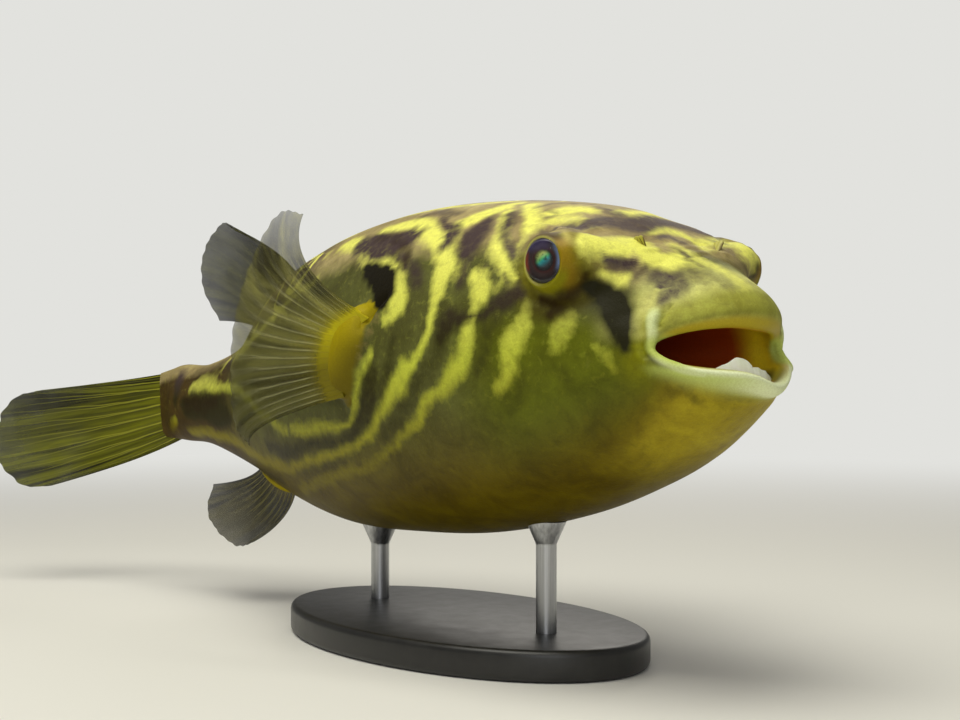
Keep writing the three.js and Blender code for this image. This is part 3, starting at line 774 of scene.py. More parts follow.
darkMarks = {
    "shoulder": (1, [(178, -38, 54, 5), (162, -43, 51, 7), (147, -44, 49, 7.5), (138, -43, 50, 6),
        (134, -42, 50, 3.5)]),
    "shoulder low": (0.9, [(134.5, -49, 42.5, 2.4), (121, -53, 34, 3.5), (118, -54, 29, 3.5)]),
    "nape": (0.95, [(129, -33.5, 57, 2), (118, -38.5, 52, 2.5), (112, -42, 48, 4.5), (111, -45, 45, 3.5),
        (112.5, -46.5, 43, 2)]),
    "nape top": (0.7, [(146.5, -29, 61, 3), (139, -28, 61, 3), (126, -30.5, 58.5, 3),
        (120, -30.5, 57.5, 2)]),
    "temple": (1, [(96, -47, 38, 3.5), (98, -42, 46, 6), (97, -39, 48, 5), (98, -35, 51.5, 3)]),
    "temple low": (0.8, [(93, -49, 35, 3), (93, -50, 32, 2.2), (94.5, -52, 27, 2.2)]),
    "before the ear": (0.9, [(90, -30.5, 52.5, 3), (86, -36, 48, 3.5), (83, -40, 44, 2.4),
        (73.5, -44, 34.5, 1.6)]),
    "ear line": (0.7, [(85, -47.5, 33.5, 0.6), (75, -48, 27.5, 0.8), (71, -48.5, 22.5, 1.6)]),
    "under the eye": (1, [(65.5, -47, 21.5, 2), (70, -49, 19, 3.5), (79.5, -52, 15, 2.4),
        (85, -53.5, 15, 1.6), (93, -55, 15, 3.5), (98, -56, 13, 4.5), (101, -56, 9, 3.5)]),
    "flank one": (0.2, [(118, -56, 24, 3.5), (120, -57, 17, 4.5), (132, -59, 9, 7), (138, -60, 5, 4.5)]),
    "flank two": (0.55, [(101, -56, 9, 3.5), (103, -57, 4, 3.5), (119, -58, -11, 3), (133, -57, -20.5, 3),
        (143, -56, -25.5, 2.2)]),
    "flank three": (0.5, [(74, -51, 13, 2.5), (78, -52, 9, 3), (79, -53, 4, 3), (84.5, -54, -5, 1.8)]),
    "flank four": (0.9, [(140, -60, 0, 3), (144, -60, -6, 5), (146, -59, -11, 5.5), (152, -59, -17, 5),
        (164, -56, -25, 2.2), (183, -54.5, -26.5, 2.5), (208, -52, -27, 3), (235, -45, -28, 4),
        (259, -39, -25, 3.5)]),
    "stripe gap": (0.7, [(126.5, -59, 9.5, 2.4), (135, -60, -5, 3.5), (150, -58, -19, 3)]),
    "low flank": (0.5, [(177, -52, -34, 1.8), (197, -49, -36, 2), (222.5, -43.5, -38, 2.2)]),
    "brow band": (1, [(59.5, -35.5, 42.5, 1.4), (59, -31, 43.5, 3), (52, -31, 43, 3.5), (51, -23, 44, 5),
        (50, -16, 44, 6), (47, -10, 43, 6), (49, -1, 45, 5.5), (50, 8, 46, 4), (51, 15, 45, 4),
        (49, 20, 42, 3.5), (48, 26, 41, 3), (50, 35.5, 41.5, 3)]),
    "crown lines": (0.6, [(85, -23, 55, 1.4), (83, -17.5, 56, 1.4), (78.5, -11.5, 56, 1.4),
        (69.5, -7.5, 54, 1.6)]),
    "crown rear": (0.6, [(71.5, -28.5, 49, 1.4), (70.5, -25.5, 50, 0.8), (77, -25, 52, 1.4)]),
    "crown peak": (0.7, [(65, -9.5, 52.5, 2), (53, -9.5, 47.5, 3)]),
    "snout lines": (0.9, [(38.5, -7.5, 37.5, 1.4), (39.5, -2.5, 38.5, 1.6), (37.5, 0, 37.5, 1.6),
        (35, 1, 35.5, 1.4)]),
    "snout lines low": (0.9, [(32, -6, 33, 1.4), (29, -6, 31.5, 1.6), (25.5, -7.5, 29, 1.4)]),
    "snout line right": (0.7, [(24.5, -8.5, 28, 1), (22.5, -7, 27.5, 1), (19, -7, 25, 1)]),
    "far lines": (0.7, [(42, 25, 37.5, 1), (34.5, 18.5, 33, 1), (43.5, 29.5, 37.5, 1), (48.5, 35.5, 36, 1)]),
    "before the eye": (1, [(35.5, -36, 29.5, 1.2), (34, -33, 28, 2.5), (30, -28.5, 27, 2.2),
        (28.5, -27, 28.5, 1)]),
    "flap shade": (0.7, [(29, -27.5, 23.5, 1.4), (27.5, -22, 25.5, 1.4)]),
    "snout blotch": (0.85, [(24, -21, 22, 4), (20, -20, 20, 6), (17, -19, 18, 4), (17, -22, 16, 4),
        (19, -25.5, 13, 2)]),
    "snout blotch tail": (0.5, [(20, -14, 24, 3.5), (16, -13, 21, 4), (12, -12.5, 19, 3)]),
    "far blotch": (0.2, [(42, 32, 33.5, 3), (33, 24, 30, 4), (25.5, 17.5, 26, 3)]),
    "far snout": (0.5, [(15.5, -8.5, 22.5, 3), (12, -6, 21, 3.5), (8, -6, 18, 3.5)]),
    "stalk band": (1, [(372, -2, 20, 3.5), (367, -9, 13, 4), (367, -13, 2, 3.5)]),
    "stalk side": (1, [(357, -16, -3, 5), (326, -22, -6, 7.5), (310, -26, -9, 6)]),
    "stalk mid": (0.9, [(351, -17, 2, 3.5), (333.5, -21, 1, 2.5), (312, -26, -1, 3)]),
    "belly rear": (0.6, [(319.5, -15, -26, 3), (317, -8, -33, 3.5), (282, -23, -37, 3.5),
        (267, -26, -42, 3.5)]),
    "back saddle": (0.8, [(176, -6, 67, 4), (158, -10, 67, 5), (140, -8, 65, 5), (124, -10, 63, 4)]),
    "back saddle rear": (0.8, [(236, -4, 65, 4), (216, -12, 65, 4.5), (196, -8, 66, 4)]),
    "flank rear": (0.7, [(190, -54, 10, 6), (212, -50, 6, 7), (236, -44, 2, 6), (262, -36, 4, 5)]),
    "brow line": (0.75, [(70.5, -35.5, 44, 1), (65.5, -34.5, 42.5, 1.6), (53, -41, 40.5, 2),
        (51.5, -38.5, 41.5, 2), (52.5, -30.5, 43, 2), (49.5, -26, 43, 2)]),
    "lip dusk one": (0.35, [(18.5, -27.5, -15.5, 1), (17.5, -25.5, -17.5, 1.4), (15.5, -24.5, -17, 1.6)]),
    "lip dusk two": (0.35, [(14.5, -23.5, -16, 1.6), (12, -18.5, -20.5, 1.8)]),
    "lip dusk three": (0.25, [(7.5, -11, -21.5, 3), (5, -8, -21, 3), (3.5, -6.5, -20.5, 2.2)]),
}
blackMarks = {
    "gill spot": (1, [(157, -50.5, 41, 3), (148, -53, 37, 5), (141, -54, 32, 7.5), (139, -56, 28, 7.5),
        (140, -56, 25, 4)]),
}
duskMarks = {
    "cheek blotch low": (0.9, [(36, -36, 15, 3), (34, -37, 10, 3.5), (29, -36, 0, 2.5)]),
    "cheek blotch": (1, [(41, -37, 20, 3), (36, -35, 16, 6), (32, -34, 12, 6.5), (28, -35, 2, 4),
        (27, -35, -2.5, 2.5)]),
}
# rust-brown pigment marks; those under the eye and below the front of its swelling are partly painted shade
rustAndShadeMarks = {
    "eye patch and shade": (0.9, [(56.5, -45.5, 17, 1.8), (52.5, -44.5, 15, 3), (48.5, -43.5, 14, 2.5),
        (51.5, -46, 11.5, 2)]),
    "eye shade": (0.5, [(45, -44, 23, 3), (41, -41, 23, 4.5), (41, -37, 21, 3.5)]),
    "shoulder": (0.5, [(163.5, -39.5, 54, 3), (150, -41, 52.5, 2.5), (133.5, -48, 44, 2.2),
        (131, -50, 40, 3.5)]),
    "stalk top": (0.4, [(351, -11, 14, 5.5), (333, -16, 14, 6), (312, -23, 12, 5.5)]),
    "stalk side": (0.6, [(356, -16, -1, 4.5), (338, -20, -3, 4), (322.5, -23.5, -3, 3)]),
    "far brow": (0.5, [(36, 37, 26, 2), (39.5, 41.5, 25, 2.5), (42, 46, 25, 2)]),
    "mound low shade": (0.8, [(49.5, -43.5, 17.5, 2.5), (45, -42, 19, 3), (42, -40, 22, 3),
        (39.5, -39, 24.5, 2.2)]),
    "far eye edge": (0.8, [(38.5, 42, 28.5, 2), (42, 47, 26.5, 2), (34, 38.5, 22.5, 1.6)]),
}
pinkMarks = {
    "gill edge": (0.25, [(136, -59, 20.5, 2), (139, -60, 18, 3), (142, -60.5, 14.5, 3),
        (143.5, -62.5, 9.5, 2.4), (146.5, -63.5, 5.5, 1.8)]),
}


# how far round to the left the right side's own marks reach, at each distance back
markReach = {"back": [0, 20, 35, 50, 75, 100, 130, 400], "side": [44, 32, 24, 8, -6, -15, -17, -14]}
markWander = {"wide": (7, 1.3), "fine": (3, 0.5)}  # how far apart a rim's waves are, and how high, in mm


def reachLeft(points):
    return np.interp(points[:, 0], markReach["back"], markReach["side"])


def otherSide(points):  # the left side carries like marks, not the same ones
    back, side, up = points.T
    sway = ease(np.abs(side), 6, 26)
    return np.stack([
        back + sway * (5 * np.sin(up / 17 + 1) + 3 * np.sin(back / 23)),
        -side,
        up + sway * (4 * np.sin(back / 19 + 2) + 2 * np.sin(up / 9)),
    ], 1)


def drawMarks(points, marks, seed, softness=2.8):
    mask = np.zeros(len(points))
    ragged = points.copy()
    for more, (size, height) in zip((0, 50), markWander.values()):
        ragged += wander(points, size, seed + more) * height
    farSide = otherSide(ragged)
    limit = reachLeft(points)
    limit += 50 * ease(points[:, 2], 20, 27) * ease(points[:, 0], 68, 58)  # and all over the left brow
    shares = (1 - ease(points[:, 1], limit + 4, limit + 12), ease(points[:, 1], limit + 2, limit + 10))
    for strength, track in marks.values():
        line = onSkin(points[ring > lipCrest], track, 4)
        for side, weight in zip((ragged, farSide), shares):
            gap, _, half = trackDistance(side, line)
            soft = np.minimum(softness, half * 0.95)
            mask = np.maximum(mask, weight * strength * ease(gap, half + soft, half - soft))
    return mask


ring = readMask(body, "ring")
allMarks = {"pale": paleMarks, "dark": darkMarks, "black": blackMarks, "rust": rustAndShadeMarks, "pink": pinkMarks}
for seed, (name, marks) in enumerate(allMarks.items()):
    storeMask(body, name, drawMarks(onFish, marks, seed))
storeMask(body, "dusk", drawMarks(onFish, duskMarks, 9, 5.5))
print("marks drawn:", sum(len(marks) for marks in allMarks.values()) + len(duskMarks))

back, side, up = straight.T
wide = np.abs(side)
top, bottom = through(ringTable[:, 2], ring), through(ringTable[:, 3], ring)
rise = np.where(up > 0, up / top, up / -bottom)  # 1 along the back, -1 along the belly
outside = ease(ring, lipInside + 0.2, lipCrest)
curtainLine = denser(folds["curtain"][1])
curtain = np.maximum(*(ease(gap, half * 1.7, half * 0.5) * ease(share, 0, 0.15) for gap, share, half in (
    trackDistance(onFish, line) for line in (curtainLine, curtainLine * (1, -1, 1, 1)))))
lidReach, lidAbove, lidAhead = np.full(len(onFish), 1e3), np.zeros(len(onFish)), np.zeros(len(onFish))
for hand in (-1, 1):
    out, radius, ahead, above, _ = fromEye(onFish, hand)
    radius = radius + 1.6 * np.maximum(-7 - out, 0)  # fades out toward the middle of the head
    nearer = radius < lidReach
    lidReach, lidAbove = np.where(nearer, radius, lidReach), np.where(nearer, above, lidAbove)
    lidAhead = np.where(nearer, ahead, lidAhead)
leftOf = onFish[:, 1] - reachLeft(onFish)

zones = {  # where each colour of the skin lies
    "rise": rise * 0.5 + 0.5,
    # the underside: darker than its own yellow, partly painted shade
    "belly": ease(rise, -0.15, -0.8) * outside,
    "crown": ease(rise, 0.5, 0.85) * ease(back, 14, 40),
    "cheek": ease(back, 108, 70) * ease(rise, 0.45, 0.1) * ease(rise, -0.9, -0.3),
    "chin": ease(back, 64, 20) * ease(rise, -0.1, -0.5) * ease(wide, 32, 21) * outside,
    "lip": ease(ring, snout + 0.1, lipOutside - 0.2) * ease(rise, 0, 0.4) * outside,
    "snout": ease(ring, nostril + 0.1, snout) * ease(rise, -0.1, 0.35) * outside,
    "corner": hump(back, 24, 5) * ease(wide, 26, 31) * ease(up, 22, 8) * ease(up, -20, -8),
    "lipPale": np.maximum(
        ease(ring, snout - 0.05, lipOutside - 0.4) * ease(up, -7, -11) * outside, curtain * 0.9),
    "crest": np.maximum(curtain * 0.55, ease(up, -4, -8) * np.maximum(
        hump(ring, lipCrest, 0.5),
        0.9 * ease(np.abs(ring - lipCrest - 0.3), 1.3, 0.7) * hump(side, 3, 15))),
    "innerCorner": ease(wide, 22, 27) * ease(ring, gum + 0.4, lipInside + 0.2)
    * ease(ring, lipCrest + 0.6, lipCrest) * ease(up, 3, -1),
    "mouthEdge": ease(ring, lipInside + 0.95, lipInside + 0.55) * ease(up, -12, -9),
    "mouthWall": ease(ring, lipInside + 0.2, lipInside - 0.3),
    "throat": ease(ring + 1.35 * ease(wide, 9, 19), lipInside + 0.3, lipInside - 0.3)
    * (1 - ease(wide, 5, 11) * ease(up, -5, -9) * ease(ring, throat + 0.4, gum)),
    # the fin lobe's lower front, near the body: painted shade
    "lobeLow": ease(onFish[:, 2] + 0.9 * (onFish[:, 0] - 155), 18, -6),
    "brow": ease(back, 85, 62) * ease(back, 28, 42) * ease(rise, 0.4, 0.7) * 0.8,
    "stalk": ease(back, 285, 325),
    "maze": ease(rise, 0.35, 0.6) * ease(back, 340, 300)
    * np.maximum(ease(leftOf, -2, 6) * ease(back, 60, 90), ease(back, 205, 225)),
    "lid": ease(lidReach, 11, 9.6) * ease(lidAbove + lidAhead * 0.6, 0.5, -0.3),
    # a pale line at the lid's edge behind and below the eye, partly pale rim and partly painted highlight
    "lidEdge": hump(lidReach, 8, 0.5) * ease(lidAhead - lidAbove * 0.5, 0.7, 0),
    "upperLid": hump(lidReach, 11, 1.3) * ease(lidAbove, 0.3, 0.9) * 0.8,
    "lidShade": ease(lidReach, 11, 9.6) * ease(lidAbove - lidAhead * 0.35, 0.25, 0.7) * 0.85,
    # a dark line in the crease above the eye: painted shade
    "lidCrease": hump(lidReach, 12, 0.8) * ease(lidAbove, 0.2, 0.7) * 0.7,
    "mound": ease(lidReach, 23, 11) * ease(lidAbove, 0.85, 0.2),
    "moundShade": ease(lidReach, 10, 13) * ease(lidReach, 24, 17) * ease(lidAbove, -0.2, -0.9) * 0.6,
    # the skin sunk behind the eyeball, painted near black: painted shade in the hollow
    "socket": sunk,
    "ochre": ease(lidReach, 13.5, 10) * ease(lidReach, 7.8, 8.6) * ease(lidAhead, 0.3, 0.8) * 0.6,
    "soft": np.maximum(ease(ring, snout, lipOutside), ease(lidReach, 11, 8)),
}
for name, values in zones.items():
    storeMask(body, name, values)
setPlaces(body, posed(onFish))

skinColours = {
    # the belly's colour is darkened beyond its own yellow, partly painted shade
    "flank": paint(104, 107, 54), "belly": paint(106, 92, 0), "cheek": paint(102, 109, 16),
    "chin": paint(180, 164, 34), "crown": paint(186, 170, 120), "snout": paint(236, 238, 144),
    # the pale marks' top and low tones: brighter along the back and darker toward the belly, partly painted
    # light from above and painted shade
    "pale": paint(200, 208, 70), "paleTop": paint(242, 242, 116), "paleLow": paint(136, 126, 8),
    "purple": paint(72, 58, 58), "olive": paint(48, 44, 14), "black": paint(26, 22, 8),
    # the rust-brown tone also carries painted shade under the eye's swelling
    "dusk": paint(34, 32, 8), "brow": paint(96, 84, 80), "rust": paint(44, 28, 2),
    "moundShade": paint(44, 28, 2), "lip": paint(176, 178, 76), "lipPale": paint(192, 206, 104),
    "innerCorner": paint(192, 206, 104), "crest": paint(234, 242, 198), "gold": paint(250, 228, 48),
    "goldBand": paint(184, 166, 44), "throat": paint(176, 76, 18), "lobe": paint(168, 152, 10),
    # the lobe's darker tone is painted shade
    "lobeShadeTone": paint(108, 96, 6), "pink": paint(186, 160, 100), "stalk": paint(84, 66, 28),
    # the lid's pale edge is partly painted highlight
    "corner": paint(140, 142, 12), "lid": paint(136, 132, 12), "lidEdge": paint(186, 180, 96),
    # the crease's dark tone is painted shade
    "upperLid": paint(190, 176, 104), "lidShade": paint(74, 58, 44), "lidCrease": paint(84, 62, 30),
    # the hollow behind the eye is near black: painted shade
    "mound": paint(140, 136, 26), "ochre": paint(160, 124, 12), "socket": paint(24, 14, 6),
}


def makeSkinMaterial():
    material, tree, shader = newMaterial("moistSkin")
    c = skinColours
    spot = placeNode(tree)
    grain = useGroup(tree, skinGrain, {"Place": spot})

    def lay(colour, *names):  # each mask's own colour over what is there
        for name in names:
            colour = mixColour(tree, maskNode(tree, name), colour, c[name])
        return colour

    def layRagged(colour, name, tone, scale, rag, sharpness):  # the same with a broken rim
        given = {"Place": spot, "Scale": scale, "Rag": rag, "Sharpness": sharpness}
        mask = useGroup(tree, raggedEdge, {"Mask": maskNode(tree, name), **given})["Mask"]
        return mixColour(tree, mask, colour, tone)

    colour = lay(c["flank"], "belly", "cheek", "stalk", "chin")
    colour = layRagged(colour, "crown", c["crown"], 0.06, 0.7, 1.4)
    colour = lay(colour, "corner", "snout", "lip", "mound")
    cloud = noiseNode(tree, spot, 0.06, 5.0, 0.62, 0.5)
    shade = rampNode(tree, cloud, (0.32, paint(196, 190, 178)), (0.68, paint(255, 255, 250)))
    colour = mixColour(tree, 1.0, colour, shade, "MULTIPLY")
    rise = maskNode(tree, "rise")
    darkTone = lay(rampNode(tree, rise, (0.55, c["olive"]), (0.84, c["purple"])), "brow")
    # the pale marks brighten toward the back and darken toward the belly: partly painted light from above
    # and painted shade
    paleTone = rampNode(tree, rise, (0.22, c["paleLow"]), (0.5, c["pale"]), (0.84, c["paleTop"]))
    winding, maze = noiseNode(tree, spot, 0.038, 0.8, 0.5, 1.5), maskNode(tree, "maze")
    lines = (1.5 - abs(winding - 0.5) / 0.042).clamped() * maze
    colour = mixColour(tree, (maze - lines).clamped() * 0.7, colour, darkTone)
    colour = mixColour(tree, lines, colour, paleTone)
    colour = layRagged(colour, "pale", paleTone, 0.34, 0.75, 1.1)
    colour = layRagged(colour, "dark", darkTone, 0.3, 0.8, 1.0)
    # rust-brown pigment, partly painted shade under the eye's swelling, then the swelling's painted shade
    # below it
    colour = lay(layRagged(colour, "rust", c["rust"], 0.12, 0.9, 1.1), "moundShade")
    colour = layRagged(colour, "black", c["black"], 0.14, 0.7, 1.35)
    dusk = maskNode(tree, "dusk")
    colour = mixColour(tree, ((dusk + (cloud - 0.5) * 0.7) * (dusk * 1.35)).clamped(), colour, c["dusk"])
    # the lobe darkens toward its lower front: painted shade
    lobeTone = mixColour(tree, maskNode(tree, "lobeLow"), c["lobe"], c["lobeShadeTone"])
    colour = layRagged(colour, "lobe", lobeTone, 0.2, 0.4, 2.0)
    colour = layRagged(colour, "pink", c["pink"], 0.3, 0.6, 1.6)
    # the dark line in the crease above the eye is painted shade
    # the lid's pale edge is partly painted highlight
    colour = lay(colour, "ochre", "upperLid", "lidShade", "lid", "lidEdge", "lidCrease", "lipPale", "crest")
    gumTone = mixColour(tree, maskNode(tree, "mouthWall"), c["goldBand"], c["gold"])
    colour = mixColour(tree, maskNode(tree, "mouthEdge"), colour, gumTone)
    # the hollow behind the eyeball is painted dark: painted shade
    colour = lay(colour, "innerCorner", "throat", "socket")
    speckle = rampNode(tree, grain["Speckle"], (0.3, paint(238, 235, 226)), (0.7, paint(255, 255, 255)))
    colour = mixColour(tree, 1.0, colour, speckle, "MULTIPLY")
    normal = bumpNode(tree, grain["Height"], maskNode(tree, "soft") * -0.15 + 0.22, 0.0006)
    setShader(tree, shader, Base_Color=colour, Roughness=grain["Speckle"] * 0.2 + 0.4, Normal=normal,
              Specular_IOR_Level=0.11)
    return material


finishPiece(
    body, "skin", makeSkinMaterial(), "skin", "head", "trunk_front", "trunk_rear", "tail_stalk", "upper_jaw",
    "lower_jaw", "pectoral_base_right", "pectoral_base_left", "dorsal_base", "anal_base",
)

eyeLook = {
    "gaze": 22, "flatAt": 6.1, "irisRadius": 6.4, "irisDepth": 0.5, "pupilRadius": 3.6, "pupilDome": 0.9,
    "shell": 0.4, "shellReach": 75, "segments": 96, "rings": 64,
}


def makeEyeMaterials():
    ball, tree, shader = newMaterial("eyeBall")
    mask = lambda name: maskNode(tree, name)
    fleck = noiseNode(tree, placeNode(tree, "eyePlace"), 0.6, 3.0, 0.6, 0.4)
    rings = rampNode(
        tree, mask("fromPupil") + (fleck - 0.5) * 0.05,
        (0.0, paint(2, 4, 4)), (0.37, paint(3, 4, 4)), (0.43, paint(52, 14, 3)), (0.52, paint(36, 12, 3)),
        (0.74, paint(14, 5, 3)), (0.9, paint(12, 8, 8)), (1.0, paint(60, 52, 24)))
    # the blue rim on the ball's front edge is a painted reflection
    for name, tone in (("violet", (50, 38, 74)), ("rimReflection", (104, 124, 160)), ("redRim", (130, 48, 10))):
        rings = mixColour(tree, mask(name), rings, paint(*tone))
    glint = rampNode(tree, mask("glint"), (0.0, paint(4, 50, 66)), (0.4, paint(14, 130, 136)),
                     (0.65, paint(70, 160, 96)), (1.0, paint(150, 160, 84)))
    inPupil = mask("glintReach") * ((fleck - 0.32) * 6.0).clamped()
    setShader(tree, shader, Base_Color=mixColour(tree, inPupil, rings, glint), Roughness=0.35)

    cornea, tree, shader = newMaterial("cornea")
    # the bluish colour that shows at grazing angles is a painted reflection
    edge = newWire(tree, "ShaderNodeLayerWeight", "Facing", {"Blend": 0.42})
    alpha = (mathNode(tree, "POWER", edge, 4.0) * 0.3 + 0.01).clamped()
    setShader(tree, shader, Base_Color=paint(110, 128, 160), Roughness=0.06, Alpha=alpha, IOR=1.36,
              Coat_Weight=0.5, Coat_Roughness=0.02)
    return ball, cornea


def placeBall(ball, points, hand, turn):  # turns a ball made round +Z to look out of the head, and poses it
    out, upward = eyeAxis(hand, turn), np.array([0, 0, 1.0])
    setPlaces(ball, posed(eyeMiddle(hand) + points @ np.stack([np.cross(upward, out), upward, out])))


def makeEye(name, hand, ballMaterial, corneaMaterial):
    look = eyeLook
    inner = eye["radius"] - look["shell"]
    ball = addBall(look["segments"], look["rings"], inner)
    points = getPlaces(ball)
    flat = np.hypot(points[:, 0], points[:, 1])
    # the iris is a shallow dish in front of the ball, and the pupil a low dome in it
    dish = look["flatAt"] - look["irisDepth"] * ease(flat, look["irisRadius"], look["pupilRadius"])
    dish += look["pupilDome"] * ease(flat, look["pupilRadius"], 0)
    points[:, 2] = np.where(points[:, 2] > 0, np.minimum(points[:, 2], dish), points[:, 2])
    # the light thrown back from inside the pupil: green above, blue-green below
    behind, high = points[:, 0] * -hand, points[:, 1]
    masks = {
        "fromPupil": flat / inner,
        "glint": ease(high + 0.5 * behind, -3.0, 3.2),
        "violet": ease(high, 2.2, 5) * ease(behind, -4, -1) * 0.8,
        # the blue rim along the front edge is a painted reflection
        "rimReflection": ease(-behind, 2.8, 6.2) * ease(flat, 4.2, 6) * ease(high, -5, -1) * 0.8,
        "redRim": ease(behind, 4.6, 6.6) * ease(flat, 5, 6.4) * ease(np.abs(high), 5, 2) * 0.7,
        "glintReach": ease(np.hypot(behind - 0.3, high - 0.6), 3.4, 1.9) * ease(points[:, 2], 0, 1),
    }
    for key, values in masks.items():
        storeMask(ball, key, values)
    storeVector(ball, "eyePlace", points)
    placeBall(ball, points, hand, look["gaze"])
    finishPiece(ball, f"eyeball_{name}", ballMaterial, "eye", f"eye_{name}")

    dome = addBall(look["segments"], look["rings"], eye["radius"])
    reach = eye["radius"] * math.cos(math.radians(look["shellReach"]))

    def cutBack():
        bpy.ops.mesh.select_all(action="SELECT")
        bpy.ops.mesh.bisect(plane_co=(0, 0, reach), plane_no=(0, 0, 1), clear_inner=True)
    inEdit(dome, cutBack)
    placeBall(dome, getPlaces(dome), hand, eye["aim"])
    finishPiece(dome, f"cornea_{name}", corneaMaterial, "eye")


ballMaterial, corneaMaterial = makeEyeMaterials()
for name, hand in (("right", -1), ("left", 1)):
    makeEye(name, hand, ballMaterial, corneaMaterial)

teeth = {
    "columns": 46, "rows": 20, "back": 2.6, "curve": 38, "thick": 2.6, "root": -16.5,
    "bulge": 0.9, "groove": 0.07, "grooves": 1.7, "chips": 0.22,
    "plates": {  # from and to, across, and the heights along the edge
        "right": (-14.5, -0.9, [-10.6, -9.2, -7.4, -7.2, -9.8]),
        "left": (-0.7, 12.5, [-10.2, -10.6, -11.4, -12.6, -14.2]),
    },
}


def makeToothMaterial():
    material, tree, shader = newMaterial("toothEnamel")
    spot = objectPlace(tree)
    cloud = noiseNode(tree, spot, 260.0, 4.0, 0.6)
    colour = rampNode(tree, cloud, (0.35, paint(246, 250, 220)), (0.65, paint(254, 255, 238)))
    wave = {"Vector": spot, "Scale": 190.0, "Distortion": 3.0, "Detail": 2.0}
    streaks = newWire(tree, "ShaderNodeTexWave", "Fac", wave, bands_direction="Y")
    colour = mixColour(tree, streaks * 0.06, colour, paint(206, 206, 170))
    setShader(tree, shader, Base_Color=colour, Roughness=0.22, Normal=bumpNode(tree, streaks, 0.08, 0.0003),
              Coat_Weight=0.3)
    return material


def makeTooth(name, material):
    look = teeth
    start, end, edge = look["plates"][name]
    plate, t, s = addGrid(look["columns"], look["rows"])
    rng = np.random.default_rng(11)
    chips = through(rng.uniform(-look["chips"], look["chips"], 10), t * 9)
    top = through(edge, t * (len(edge) - 1)) + chips
    across = start + (end - start) * t
    up = look["root"] + (top - look["root"]) * s
    front = look["back"] + across ** 2 / look["curve"] + look["bulge"] * s ** 2
    front += look["groove"] * np.cos(across * look["grooves"]) * s
    setPlaces(plate, posed(np.stack([front, across, up], 1)))
    thicken(plate, look["thick"], -1)
    roundEdges(plate, 0.5, 3, 50)
    inEdit(plate, lambda: turnOut(merge=1e-6))
    finishPiece(plate, f"tooth_plate_{name}", material, "tooth", f"lower_tooth_{name}")


toothMaterial = makeToothMaterial()
for name in teeth["plates"]:
    makeTooth(name, toothMaterial)

flap = {
    "back": 35, "side": 17, "up": 32.6, "height": 4.6, "sunk": 2.5, "width": 3.8, "thick": 1.1,
    "spread": 13, "lean": 0.5, "waist": 0.7, "cup": 0.8,
}


def makeFlapMaterial():
    material, tree, shader = newMaterial("flapSkin")
    spot = placeNode(tree, "flapPlace")
    edge = abs(splitPlace(tree, spot)[0]) + noiseNode(tree, spot, 2.5, 3.0) * 0.3
    colour = rampNode(tree, edge, (0.7, paint(176, 170, 76)), (1.15, paint(112, 98, 46)))
    setShader(tree, shader, Base_Color=colour, Roughness=0.45,
              Normal=bumpNode(tree, noiseNode(tree, spot, 3.0, 2.0), 0.2, 0.0001))
    return material


def makeFlap(name, hand, material):
    halves = []
    for way in (-1, 1):
        half = addBall(32, 24)
        x, y, z = getPlaces(half).T
        s = (z + 1) / 2
        lift = s * (flap["height"] + flap["sunk"]) - flap["sunk"]
        blunt = np.minimum(np.sqrt(np.clip(1 - z ** 4, 0, 1) / np.maximum(1 - z ** 2, 1e-4)), 1.5)
        x, y = x * blunt, y * blunt
        waist = flap["waist"] + (1 - flap["waist"]) * s
        apart = math.sin(math.radians(flap["spread"])) * way * s ** 1.4 * flap["height"]
        backward = flap["back"] + apart + x * waist * flap["width"] / 2
        outside = flap["side"] + flap["lean"] * lift + y * flap["thick"] / 2 + flap["cup"] * x ** 2 * s
        storeVector(half, "flapPlace", np.stack([x, y, z], 1))
        setPlaces(half, posed(np.stack([backward, hand * outside, flap["up"] + lift], 1)))
        halves.append(half)
    pick(*halves)
    bpy.ops.object.join()
    inEdit(halves[0], turnOut)
    finishPiece(halves[0], f"nostril_flap_{name}", material, "lips", f"nasal_flap_{name}")


flapMaterial = makeFlapMaterial()
for name, hand in (("right", -1), ("left", 1)):
    makeFlap(name, hand, flapMaterial)

